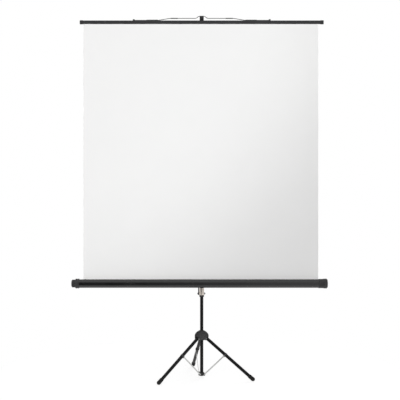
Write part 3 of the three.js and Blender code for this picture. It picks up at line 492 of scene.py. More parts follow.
class Finish:
    """A new material with a Principled shader, and short calls for adding and linking its nodes."""

    def __init__(self, name, colour, roughness, metallic=0.0, specular=0.5):
        self.colour = colour
        self.roughness = roughness
        self.material = bpy.data.materials.new(name)
        self.material.use_nodes = True
        self.tree = self.material.node_tree
        self.shader = self.tree.nodes["Principled BSDF"]
        values = {"Base Color": (*colour, 1.0), "Roughness": roughness, "Metallic": metallic,
                  "Specular IOR Level": specular}
        for key, value in values.items():
            self.shader.inputs[key].default_value = value

    def add(self, kind, inputs=None, **settings):
        """A new node in this finish."""
        return add_node(self.tree, kind, inputs, **settings)

    def place(self, scale=(1.0, 1.0, 1.0), rotation=(0.0, 0.0, 0.0)):
        """Object coordinates through a Mapping node."""
        source = self.add("ShaderNodeTexCoord").outputs["Object"]
        mapping = self.add("ShaderNodeMapping", {"Vector": source, "Scale": scale, "Rotation": rotation})
        return mapping.outputs["Vector"]

    def noise(self, scale, detail=2.0, roughness=0.5, vector=None):
        """Noise with the given number of cells to a metre."""
        inputs = {"Vector": vector or self.place(), "Scale": scale, "Detail": detail, "Roughness": roughness}
        return self.add("ShaderNodeTexNoise", inputs).outputs["Fac"]

    def spread(self, source, low, high, start=0.0, end=1.0):
        """source from start to end mapped to low to high."""
        inputs = {"Value": source, "From Min": start, "From Max": end, "To Min": low, "To Max": high}
        return self.add("ShaderNodeMapRange", inputs).outputs["Result"]

    def combine(self, first, second, operation="ADD"):
        """Two values joined by an operation."""
        node = self.add("ShaderNodeMath", {0: first, 1: second}, operation=operation)
        return node.outputs["Value"]

    def tint(self, factor, first, second):
        """A colour between two, by factor."""
        inputs = {"Factor": factor, MIX_FIRST: first, MIX_SECOND: second}
        return self.add("ShaderNodeMix", inputs, data_type="RGBA").outputs[MIX_RESULT]

    def shade(self, factor):
        """This finish's colour made lighter or darker, with an alpha of 1."""
        return (*(min(1.0, channel * factor) for channel in self.colour), 1.0)

    def mottle(self, noise, dark, light):
        """This finish's colour between a darker and a lighter shade, by a noise."""
        return self.tint(self.spread(noise, 0.0, 1.0, 0.3, 0.7), self.shade(dark), self.shade(light))

    def gloss(self, cloud, smoother, rougher, fine, fine_low, fine_high):
        """Roughness that changes slowly with one noise, and a little with a finer one."""
        slow = self.spread(cloud, self.roughness - smoother, self.roughness + rougher, 0.3, 0.7)
        return self.combine(slow, self.spread(fine, fine_low, fine_high))

    def worn(self):
        """How worn each point is, from the piece's own attribute."""
        return self.add("ShaderNodeAttribute", attribute_name="worn").outputs["Fac"]

    def feed(self, **sockets):
        """Links outputs to the shader, by input name with _ for a space."""
        for key, value in sockets.items():
            self.tree.links.new(value, self.shader.inputs[key.replace("_", " ")])

    def bump(self, height, strength, distance, below=None):
        """Bump from a height, on top of another bump if one is given."""
        inputs = {"Height": height, "Strength": strength, "Distance": distance}
        if below:
            inputs["Normal"] = below
        return self.add("ShaderNodeBump", inputs).outputs["Normal"]


def paint(name, colour, peel, roughness, specular):
    """Satin powder coat: fine orange peel, slow changes of gloss, faint dust and paler, rubbed edges."""
    finish = Finish(name, colour, roughness, specular=specular)
    cloud = finish.noise(9.0, 4.0, 0.6)
    grain = finish.noise(peel, 2.0, 0.5)
    dust = finish.noise(60.0, 6.0, 0.7)
    rubbed = finish.combine(finish.worn(), finish.spread(dust, 0.0, 0.55, 0.42, 0.66), "MULTIPLY")
    base = finish.mottle(cloud, 0.86, 1.18)
    base = finish.tint(finish.spread(dust, 0.0, 0.35, 0.55, 0.85), base, finish.shade(1.9))
    base = finish.tint(rubbed, base, finish.shade(3.2))
    rough = finish.gloss(cloud, 0.05, 0.06, grain, -0.03, 0.04)
    finish.feed(Base_Color=base, Roughness=rough, Normal=finish.bump(grain, 0.22, 0.0003))
    return finish.material


def plated(name, colour, roughness, grain, rotation=(0.0, 0.0, 0.0)):
    """Plated or bright metal: drawing lines along the piece, cloudy patches and duller edges."""
    finish = Finish(name, colour, roughness, metallic=1.0)
    lines = finish.noise(1500.0, 3.0, 0.6, finish.place(grain, rotation))
    cloud = finish.noise(45.0, 4.0, 0.6)
    base = finish.mottle(cloud, 0.84, 1.08)
    dull = finish.combine(finish.worn(), finish.spread(lines, 0.0, 0.5), "MULTIPLY")
    base = finish.tint(dull, base, finish.shade(0.7))
    rough = finish.gloss(cloud, 0.06, 0.09, lines, -0.06, 0.06)
    finish.feed(Base_Color=base, Roughness=rough, Normal=finish.bump(lines, 0.10, 0.0002))
    return finish.material


def moulded(name, colour, texture=1100.0, depth=0.0002, strength=0.50, roughness=0.46, specular=0.4):
    """Moulded plastic: fine eroded texture, slow changes of gloss and paler, rubbed edges."""
    finish = Finish(name, colour, roughness, specular=specular)
    cells = finish.noise(texture, 3.0, 0.65)
    cloud = finish.noise(35.0, 4.0, 0.6)
    base = finish.mottle(cells, 0.8, 1.25)
    rubbed = finish.combine(finish.worn(), finish.spread(cloud, 0.0, 0.6, 0.4, 0.65), "MULTIPLY")
    base = finish.tint(rubbed, base, finish.shade(2.4))
    rough = finish.gloss(cloud, 0.06, 0.06, cells, -0.05, 0.05)
    finish.feed(Base_Color=base, Roughness=rough, Normal=finish.bump(cells, strength, depth))
    return finish.material


def rubbered(name, colour):
    """Black rubber: fine pores, and pale floor dust that fades out above the sole."""
    dust_colour = (0.11, 0.105, 0.10, 1.0)
    dust_height = 0.016
    finish = Finish(name, colour, 0.82, specular=0.3)
    pores = finish.noise(1600.0, 3.0, 0.7)
    dust = finish.noise(140.0, 5.0, 0.7)
    source = finish.add("ShaderNodeTexCoord").outputs["Object"]
    height = finish.add("ShaderNodeSeparateXYZ", {"Vector": source}).outputs["Z"]
    low = finish.spread(height, 0.75, 0.0, 0.0, dust_height)
    dusty = finish.combine(low, finish.spread(dust, 0.1, 0.8, 0.35, 0.7), "MULTIPLY")
    base = finish.tint(finish.spread(pores, 0.0, 1.0), finish.shade(0.75), finish.shade(1.4))
    base = finish.tint(dusty, base, dust_colour)
    rough = finish.spread(pores, 0.72, 0.92)
    finish.feed(Base_Color=base, Roughness=rough, Normal=finish.bump(pores, 0.3, 0.0002))
    return finish.material


def woven(name, colour, pitch, strength, roughness, contrast):
    """Coated cloth: threads crossing under the coating, fine speckle and slow changes of tone.

    The height of the weave is sin(2 pi x / pitch) + sin(2 pi z / pitch), from two band textures.
    """
    finish = Finish(name, colour, roughness, specular=0.2)
    bands = 2 * pi / pitch / BAND_RADIANS
    threads = []
    for direction in ("X", "Z"):
        inputs = {"Vector": finish.place(), "Scale": bands, "Distortion": 0.4, "Detail": 1.0}
        wave = finish.add("ShaderNodeTexWave", inputs, wave_type="BANDS", bands_direction=direction)
        threads.append(wave.outputs["Fac"])
    weave = finish.combine(*threads)
    speckle = finish.noise(2600.0, 2.0, 0.6)
    cloud = finish.noise(5.0, 3.0, 0.55)
    base = finish.mottle(cloud, 1 - contrast, 1.0)
    base = finish.tint(finish.spread(speckle, 0.0, 0.5, 0.35, 0.8), base, finish.shade(1 - 2.5 * contrast))
    normal = finish.bump(speckle, strength * 0.6, 0.00012, finish.bump(weave, strength, 0.00008))
    rough = finish.spread(speckle, roughness - 0.05, roughness + 0.05)
    finish.feed(Base_Color=base, Roughness=rough, Normal=normal)
    finish.shader.inputs["Sheen Weight"].default_value = 0.04
    finish.shader.inputs["Sheen Roughness"].default_value = 0.6
    return finish.material


# Scales of a noise that draw it out along X or along Z
ALONG_X = (0.06, 1.0, 1.0)
ALONG_Z = (1.0, 1.0, 0.04)
# Maker, material name, colour and further settings of each finish
LOOKS = {
    "black paint": (paint, "Black powder coat", "black_paint", 700.0, 0.22, 0.60),
    "tube paint": (paint, "Black tube paint", "tube_paint", 1100.0, 0.30, 0.13),
    "charcoal paint": (paint, "Charcoal powder coat", "charcoal_paint", 900.0, 0.42, 0.25),
    "zinc": (plated, "Zinc plate", "zinc", 0.34, ALONG_Z),
    "bright zinc": (plated, "Bright zinc plate", "bright_zinc", 0.30, ALONG_Z),
    "steel": (plated, "Bright steel", "steel", 0.26, ALONG_X),
    "wire": (plated, "Spring wire", "wire", 0.38, ALONG_X),
    "plastic": (moulded, "Satin black plastic", "plastic"),
    "textured": (moulded, "Textured black plastic", "textured", 480.0, 0.0009, 1.0, 0.70, 0.05),
    "rubber": (rubbered, "Black rubber", "rubber"),
    "cloth front": (woven, "Matt white cloth", "cloth_front", 0.0011, 0.40, 0.88, 0.014),
    "cloth back": (woven, "Dark cloth backing", "cloth_back", 0.0008, 0.30, 0.80, 0.10),
}
# Materials made so far, by look
FINISHES = {}


def material_of(look):
    """The material of a look, made once with the chosen colours."""
    if look not in FINISHES:
        maker, title, colour, *settings = LOOKS[look]
        FINISHES[look] = maker(title, getattr(bpy.context.scene.screen_colours, colour), *settings)
    return FINISHES[look]


# Look of each material slot in the record
SLOT_FINISH = {
    "black_paint": "black paint", "charcoal_paint": "charcoal paint", "zinc": "zinc", "steel": "steel",
    "plastic": "plastic", "textured_plastic": "textured", "rubber": "rubber", "screen_fabric": "cloth front",
}


# Operators

class SCREEN_OT_stage(Operator):
    """Makes the camera, floor, surroundings and soft boxes"""

    bl_idname = "screen_kit.stage"
    bl_label = "Stage"

    def execute(self, context):
        stage = context.scene.stage_settings
        cloth_y = middle("screen_fabric")[1]
        camera = bpy.data.cameras.new("Camera")
        camera.angle = 2 * atan2(IMAGE_SIZE / 2, stage.focal_pixels)
        eye = bpy.data.objects.new("Camera", camera)
        eye.location = (MAST[0] - stage.camera_left, cloth_y - stage.camera_distance, stage.camera_height)
        eye.rotation_euler = (pi / 2, 0, 0)
        context.scene.collection.objects.link(eye)
        context.scene.camera = eye
        context.scene.view_settings.view_transform = "Standard"
        self.surroundings(context.scene, stage)
        self.floor(context.scene, stage)
        aim = (MAST[0], cloth_y, LAMP_AIM_HEIGHT)
        for name, place, side, setting in SOFT_BOXES:
            lamp = bpy.data.lights.new(name, "AREA")
            lamp.size = side
            lamp.energy = getattr(stage, setting)
            self.hang(context.scene, lamp, place, aim)
        spot = bpy.data.lights.new("Cloth light", "SPOT")
        spot.energy = stage.cloth_power
        spot.spot_size = stage.spot_size
        spot.spot_blend = stage.spot_blend
        spot.shadow_soft_size = stage.spot_radius
        self.hang(context.scene, spot, SPOT_PLACE, (SPOT_AIM[0], cloth_y, SPOT_AIM[1]))
        return {"FINISHED"}

    def hang(self, scene, lamp, place, aim):
        """Puts a lamp at a place, turned to face a point; no lamp shows in reflections."""
        obj = bpy.data.objects.new(lamp.name, lamp)
        obj.location = place
        obj.rotation_euler = Vector(np.subtract(aim, place)).to_track_quat("-Z", "Y").to_euler()
        obj.visible_glossy = False
        scene.collection.objects.link(obj)

    def surroundings(self, scene, stage):
        """White for the camera, in reflections and through glass, and a plain grey level as light.

        In reflections there is one dark opening, at the level room. It is a smooth step of the dot product
        of the opening's and the ray's directions.
        """
        world = bpy.data.worlds.new("Studio")
        world.use_nodes = True
        tree = world.node_tree
        path = add_node(tree, "ShaderNodeLightPath").outputs
        ray_direction = add_node(tree, "ShaderNodeTexCoord").outputs["Generated"]
        inputs = {0: ray_direction, 1: unit(OPENING)}
        along = add_node(tree, "ShaderNodeVectorMath", inputs, operation="DOT_PRODUCT").outputs["Value"]
        inputs = {"Value": along, "From Min": stage.opening_edge, "From Max": stage.opening_core,
                  "To Min": 1.0, "To Max": stage.room}
        mirrored = add_node(tree, "ShaderNodeMapRange", inputs, interpolation_type="SMOOTHSTEP")
        level = stage.ambient
        for ray, strength in (("Is Glossy Ray", mirrored.outputs["Result"]), ("Is Camera Ray", 1.0),
                              ("Is Transmission Ray", 1.0)):
            level = self.choose(tree, path[ray], level, strength)
        background = tree.nodes["Background"].inputs
        tree.links.new(level, background["Strength"])
        background["Color"].default_value = (1, 1, 1, 1)
        scene.world = world

    def choose(self, tree, condition, otherwise, value):
        """A number that is value where the condition is 1."""
        inputs = {"Factor": condition, "A": otherwise, "B": value}
        return add_node(tree, "ShaderNodeMix", inputs).outputs["Result"]

    def floor(self, scene, stage):
        """A plain round floor, white to the camera and in reflections, with part of the object's shadow.

        Its glow fills up what the bare floor, at floor_level, lacks to white.
        """
        sides = 96
        mesh = bpy.data.meshes.new("Floor")
        angle = np.linspace(0, 2 * pi, sides, endpoint=False)
        corners = stage.floor_radius * np.stack((np.cos(angle), np.sin(angle), 0 * angle), -1)
        mesh.from_pydata(corners.tolist(), [], [list(range(sides))])
        finish = Finish("Studio floor", scene.screen_colours.floor, 1.0, specular=0.0)
        level = (1 - stage.shadow * stage.floor_level) / (1 - stage.shadow)
        glow = finish.add("ShaderNodeEmission", {"Strength": level})
        path = finish.add("ShaderNodeLightPath").outputs
        glowing = 0.0
        for ray in ("Is Glossy Ray", "Is Transmission Ray", "Is Camera Ray"):
            glowing = self.choose(finish.tree, path[ray], glowing, 1 - stage.shadow)
        inputs = {"Fac": glowing, 1: finish.shader.outputs[0], 2: glow.outputs[0]}
        mix = finish.add("ShaderNodeMixShader", inputs)
        finish.tree.links.new(mix.outputs[0], finish.tree.nodes["Material Output"].inputs["Surface"])
        mesh.materials.append(finish.material)
        obj = bpy.data.objects.new("Floor", mesh)
        scene.collection.objects.link(obj)


class SCREEN_OT_cloth(Operator):
    """Makes the white screen cloth"""

    bl_idname = "screen_kit.cloth"
    bl_label = "Screen cloth"

    def execute(self, context):
        low, high = (np.array(corner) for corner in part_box("screen_fabric"))
        width, _, height = high - low
        columns, rows = 97, 151
        s = np.linspace(0, 1, columns)
        t = np.linspace(0, 1, rows)[:, None]
        # The waves fade out at the case and at the batten, by sin(pi t)^2
        wave = sum(part * np.cos(2 * pi * times * s + phase + lean * t)
                   for part, times, phase, lean in RIPPLES)
        depth = context.scene.screen_sizes.cloth_ripple * np.sin(pi * t) ** 2 * wave
        x = low[0] + width * s + 0 * t
        z = low[2] + height * t + 0 * s
        front = np.stack((x, low[1] + depth, z), -1)
        back = np.stack((x, high[1] + depth, z), -1)[:, ::-1]
        both = shell(np.concatenate((front, back), 1))
        cloth = piece("screen_cloth", "screen_fabric", "cloth front", both, sharp=60)
        cloth.data.materials.append(material_of("cloth back"))
        normals = np.empty(3 * len(cloth.data.polygons))
        cloth.data.polygons.foreach_get("normal", normals)
        behind = (normals.reshape(-1, 3)[:, 1] > 0.5).astype(np.int32)
        cloth.data.polygons.foreach_set("material_index", behind)
        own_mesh(cloth)
        self.wound(context.scene.screen_sizes)
        return {"FINISHED"}

    def wound(self, sizes):
        """The cloth still on the roller, with stepped ends where its layers are wound unevenly."""
        start, end = reach("fabric_roll", X_AXIS)
        outer = reach("fabric_roll", Z_AXIS, middle("fabric_roll"))[1]
        core = reach("roller_tube", Z_AXIS, middle("roller_tube"))[1] + sizes.fit
        turns = 4
        uneven = 0.0006
        lip = 0.0004
        steps = [(core + (outer - core) * (i + 0.5) / turns, uneven * (i % 2)) for i in range(turns)]
        profile = [(core, start)] + [(r, start + inset) for r, inset in steps]
        profile += [(outer, start + lip), (outer, end - lip)]
        profile += [(r, end - inset) for r, inset in reversed(steps)] + [(core, end)]
        roll = turned(profile, middle("fabric_roll") * (0, 1, 1), X_AXIS, 0.0002, 64, closed=True)
        piece("cloth_on_roller", "fabric_roll", "cloth front", roll)


class SCREEN_OT_case(Operator):
    """Makes the case's shell, its end caps and the tension knob"""

    bl_idname = "screen_kit.case"
    bl_label = "Case"

    def execute(self, context):
        sizes = context.scene.screen_sizes
        self.axis = middle("case_housing") * (0, 1, 1)
        self.housing(sizes)
        self.left_cap(sizes)
        self.right_cap(sizes)
        self.dial(sizes)
        return {"FINISHED"}

    def housing(self, sizes):
        """Sheet metal folded to a rounded octagon, open at the cloth's slot, carried along X.

        A corner's centre lies (half - corner) / cos(pi / 8) from the axis. The sheet's outer line starts
        behind the slot, goes round below and ends in front of it; both ends fold inward as lips.
        """
        half = half_width("case_housing", Z_AXIS)
        slot = middle("screen_fabric")[1] - self.axis[1]
        gap = self.slot_half()
        steps = 6
        centre = (half - sizes.case_corner) / cos(pi / 8)
        bevel = half * sqrt(2)
        # Corners in order from behind the slot downwards, round the front and up to the slot's front edge
        middle_angle = (pi / 8 - np.arange(8) * pi / 4)[:, None]
        turn = np.linspace(pi / 8, -pi / 8, steps + 1)[None]
        angle = middle_angle + turn
        points = np.stack((
            centre * np.cos(middle_angle) + sizes.case_corner * np.cos(angle),
            centre * np.sin(middle_angle) + sizes.case_corner * np.sin(angle),
        ), -1).reshape(-1, 2)
        normals = np.stack((np.cos(angle), np.sin(angle)), -1).reshape(-1, 2)
        rear, front = slot + gap, slot - gap
        diagonal = np.array((1, 1)) / sqrt(2)
        outer = np.concatenate(([(rear, bevel - rear)], points, [(front, bevel - front)]))
        facing = np.concatenate(([diagonal], normals, [diagonal]))
        inner = outer - sizes.case_wall * facing
        lip = np.array((0, -sizes.slot_lip))
        wall = np.array((sizes.case_wall, 0))
        ends = (outer[-1] + lip, outer[-1] + lip - wall, outer[0] + lip + wall, outer[0] + lip)
        outline = np.concatenate((outer, ends[:2], inner[::-1][1:-1], ends[2:]))[::-1]
        low, high = reach("case_housing", X_AXIS)
        piece("case_shell", "case_housing", "black paint", beam(outline, self.axis, low, high), sharp=30)

    def slot_half(self):
        """Half the slot's width: the gap in the housing's corners beside the cloth, above the axis."""
        points = node_points("case_housing")
        well_above = 0.01
        above = points[points[:, 2] > self.axis[2] + well_above]
        offset = np.abs(above[:, 1] - middle("screen_fabric")[1])
        return offset.min()

    def left_cap(self, sizes):
        """A round cup over the case's left end, with a hole for the knob's shaft and a stepped rim."""
        low, high = reach("left_end_cap", X_AXIS)
        outer = reach("left_end_cap", Z_AXIS, self.axis)[1]
        points = node_points("left_end_cap") - self.axis
        hole = np.hypot(points[:, 1], points[:, 2]).min()
        disc, left_band, right_band = 0.004, 0.009, 0.008
        step, slope = 0.0012, 0.001
        edge, chamfer = 0.0006, 0.003
        bore = outer - sizes.cap_wall
        profile = (
            (hole, low), (outer - disc, low), (outer, low + disc),
            *groove(outer, low + left_band, high - right_band, step, slope), (outer, high - chamfer),
            (bore + edge, high), (bore, high), (bore, low + disc), (hole, low + disc),
        )
        cup = turned(profile, self.axis, X_AXIS, 0.0012, 96, closed=True)
        piece("case_cap_left", "left_end_cap", "plastic", cup)

    def right_cap(self, sizes):
        """A sleeve over the case's right end that flares to a flange, with a shallow ring in its face."""
        low, high = reach("right_end_cap", X_AXIS)
        outer = reach("right_end_cap", Z_AXIS, self.axis)[1]
        disc, edge = 0.014, 0.005
        bore = outer - sizes.cap_wall
        sleeve = bore + sizes.fit
        flare, flare_length = high - 0.031, 0.010
        ring_floor, ring_outer, ring_inner, slope = high - 0.0012, outer - 0.0065, outer - 0.011, 0.001
        dish_floor, dish, dish_slope = high - 0.0015, 0.012, 0.0015
        profile = (
            (0, high - disc), (bore, high - disc), (bore, low), (sleeve, low), (sleeve, flare),
            (outer, flare + flare_length), (outer, high - edge), (outer - edge, high),
            (ring_outer, high), (ring_outer - slope, ring_floor), (ring_inner + slope, ring_floor),
            (ring_inner, high), (dish + dish_slope, high), (dish, dish_floor), (0, dish_floor),
        )
        piece("case_cap_right", "right_end_cap", "plastic", turned(profile, self.axis, X_AXIS, 0.001, 96))

    def dial(self, sizes):
        """The tension knob: a drum on a shaft, its rim cut by flutes, r = R (1 - d (1 - cos n a) / 2)."""
        low, high = reach("tension_knob", X_AXIS)
        outer = reach("tension_knob", Z_AXIS, self.axis)[1]
        face = reach("left_end_cap", X_AXIS)[0] - sizes.fit
        points = node_points("tension_knob") - self.axis
        past_face = 0.001
        shaft = np.hypot(points[:, 1], points[:, 2])[points[:, 0] > face + past_face].max()
        flutes = sizes.dial_flutes
        flute_depth, run_out = 0.045, 0.002
        flute_start, flute_end, core = low + 0.004, face - 0.003, 0.9 * outer

        def scale(r, h, a):
            rim = np.clip((h - flute_start) / run_out, 0, 1) * np.clip((flute_end - h) / run_out, 0, 1)
            grip = rim * np.clip((r - core) / (outer - core), 0, 1)
            return 1 - flute_depth * grip * (1 - np.cos(flutes * a)) / 2

        rows = np.linspace(low + 0.005, face - 0.0025, 10)
        dish_floor, dish, dish_slope = low + 0.001, 0.010, 0.0015
        front_edge, rear_edge, rear_slope = 0.0055, 0.0015, 0.001
        profile = [(0, dish_floor), (dish, dish_floor), (dish + dish_slope, low), (outer - front_edge, low),
                   (outer, flute_start)]
        profile += [(outer, h) for h in rows]
        profile += [(outer, face - rear_slope), (outer - rear_edge, face), (shaft, face), (shaft, high),
                    (0, high)]
        drum = turned(profile, self.axis, X_AXIS, 0.0009, 6 * flutes, scale, steps=3)
        piece("tension_dial", "tension_knob", "plastic", drum, sharp=50)


class SCREEN_OT_batten(Operator):
    """Makes the batten, its end caps, the wire bail, its grips and its clips"""

    bl_idname = "screen_kit.batten"
    bl_label = "Batten and bail"

    def execute(self, context):
        sizes = context.scene.screen_sizes
        top = reach("batten_tube", Z_AXIS)[1]
        cap_low, cap_high = reach("batten_cap_left", Z_AXIS)
        self.centre = np.array((0, middle("batten_tube")[1], (cap_low + cap_high) / 2))
        self.depth = np.ptp(reach("batten_tube", Y_AXIS))
        self.height = 2 * (top - self.centre[2])
        self.bar(sizes)
        for side in ("left", "right"):
            self.cap(sizes, side, cap_high - top)
        self.bail(sizes)
        return {"FINISHED"}

    def outline(self, margin, steps=16):
        """The batten's stadium outline, made larger by a margin all round."""
        return stadium(self.depth + 2 * margin, self.height + 2 * margin, steps)

    def bar(self, sizes):
        """A flattened tube with a slot below for the cloth: a stadium, open below, carried along X."""
        open_outer = self.from_slot(self.outline(0), sizes.batten_slot)
        open_inner = self.from_slot(self.outline(-sizes.batten_wall), sizes.batten_slot)
        outline = np.concatenate((open_outer, open_inner[::-1]))
        low, high = reach("batten_tube", X_AXIS)
        piece("batten_bar", "batten_tube", "charcoal paint", beam(outline, self.centre, low, high), sharp=35)

    def from_slot(self, outline, gap):
        """The outline as an open line round from one side of its lowest slot, 2 gap wide, to the other."""
        towards_middle, inset = 0.1, 0.0001
        start = np.argmin(outline[:, 1] + towards_middle * np.abs(outline[:, 0]))
        line = np.roll(outline, -start, 0)
        line = line[(np.abs(line[:, 0]) > gap) | (line[:, 1] > 0)]
        if line[0, 0] < 0:
            line = line[::-1]
        ends = np.array(((gap, line[0, 1]), (-gap, line[-1, 1])))
        ends[:, 1] = outline[:, 1].min() + inset
        return np.concatenate((ends[:1], line, ends[1:]))

    def cap(self, sizes, side, lip):
        """A moulded end: the batten's outline, larger by a lip and rounded over, with a plug in the tube."""
        node = f"batten_cap_{side}"
        low, high = reach(node, X_AXIS)
        tube_low, tube_high = reach("batten_tube", X_AXIS)
        covered, inside, inset, lift, rounding = 0.004, 0.0015, 0.0033, 0.0012, 0.0024
        if side == "left":
            body_ends = (low, tube_low - sizes.fit)
            plug_ends = (tube_low - covered, tube_low + inside)
        else:
            body_ends = (tube_high + sizes.fit, high)
            plug_ends = (tube_high - inside, tube_high + covered)
        body = beam(self.outline(lip), self.centre, *body_ends, rounding, 5)
        plug = beam(self.outline(lip - inset), self.centre + lift * Z_AXIS, *plug_ends)
        piece(f"batten_end_{side}", node, "plastic", body, plug)

    def bail(self, sizes):
        """Spring wire in a plane that leans back from its journals, with two flats and a raised peak.

        A short cuff covers each flat's outer end, and a ribbed grip each journal.
        """
        pivot = joint_place("bail_swing")
        points = node_points("bail_wire")
        top = points[points[:, 2].argmax()]
        radius = pivot[2] - points[:, 2].min()
        lean = unit((top - pivot) * (0, 1, 1))
        tip = (top - pivot) @ lean - radius
        flat = sizes.bail_flat
        end = np.ptp(points[:, 0]) / 2
        middle_x = middle("bail_wire")[0]
        beside_hook, slope = 0.007, 0.014
        peak = half_width("mast_top_hook", X_AXIS) + beside_hook
        half = ((peak, tip), (peak + slope, flat), (sizes.bail_knee, flat), (sizes.bail_journal, 0.0),
                (end, 0.0))
        corners = np.array([(-x, h) for x, h in half[::-1]] + list(half))
        path, _ = rounded(corners, sizes.bail_bend, 6)
        line = np.array((middle_x, *pivot[1:])) + path[:, :1] * X_AXIS + path[:, 1:] * lean
        # The wire is drawn a little thinner than in the CAD
        thin = 0.84 * radius
        piece("bail_loop", "bail_wire", "wire", wire(line, np.cross(X_AXIS, lean), thin, 16))
        seat = (pivot + flat * lean) * (0, 1, 1)
        cuff, cuff_bore, cuff_edge = 1.3 * radius, thin + 0.0001, 0.0005
        cuffs = []
        for ends in ((-sizes.cuff_end, -sizes.cuff_start), (sizes.cuff_start, sizes.cuff_end)):
            low, high = middle_x + np.array(ends)
            cuffs.append(tube(seat, X_AXIS, cuff, cuff_bore, low, high, cuff_edge, 16))
        piece("bail_cuffs", "bail_wire", "plastic", *cuffs)
        for side in ("left", "right"):
            self.grip(side, radius + sizes.snug)
            self.saddle(sizes, side, pivot, radius)

    def grip(self, side, bore):
        """A sleeve about X whose profile goes in and out as ribs."""
        node = f"bail_grip_{side}"
        low, high, outer = round_size(node, X_AXIS, Z_AXIS)
        end, rib, margin, rows = outer - 0.0008, 0.0007, 0.003, 22
        profile = [(bore, low), (end, low)]
        for i, place in enumerate(np.linspace(low + margin, high - margin, rows)):
            profile.append((outer - rib * (i % 2), place))
        profile += [(end, high), (bore, high)]
        sleeve = turned(profile, middle(node) * (0, 1, 1), X_AXIS, 0.0006, 24, steps=2, closed=True)
        piece(f"bail_sleeve_{side}", node, "plastic", sleeve, sharp=60)

    def saddle(self, sizes, side, pivot, radius):
        """A clip over the batten: the upper half of a larger stadium less that of the batten, along X.

        A round lug on its back holds the bail's journal.
        """
        node = f"bail_clip_{side}"
        low, high = reach(node, X_AXIS)
        steps = 20
        arch = []
        for margin in (sizes.cap_wall, sizes.fit / 2):
            across_ends = self.depth / 2 + margin
            upper = self.outline(margin, steps)[:steps + 1]
            arch.append(np.concatenate(([(across_ends, 0)], upper, [(-across_ends, 0)])))
        saddle = beam(np.concatenate((arch[0], arch[1][::-1])), self.centre, low, high, 0.0006, 3)
        lug_radius = radius + 0.0045
        lug = tube(pivot * (0, 1, 1), X_AXIS, lug_radius, radius + sizes.fit, low, high, 0.0008, 32)
        piece(f"bail_saddle_{side}", node, "plastic", saddle, lug)


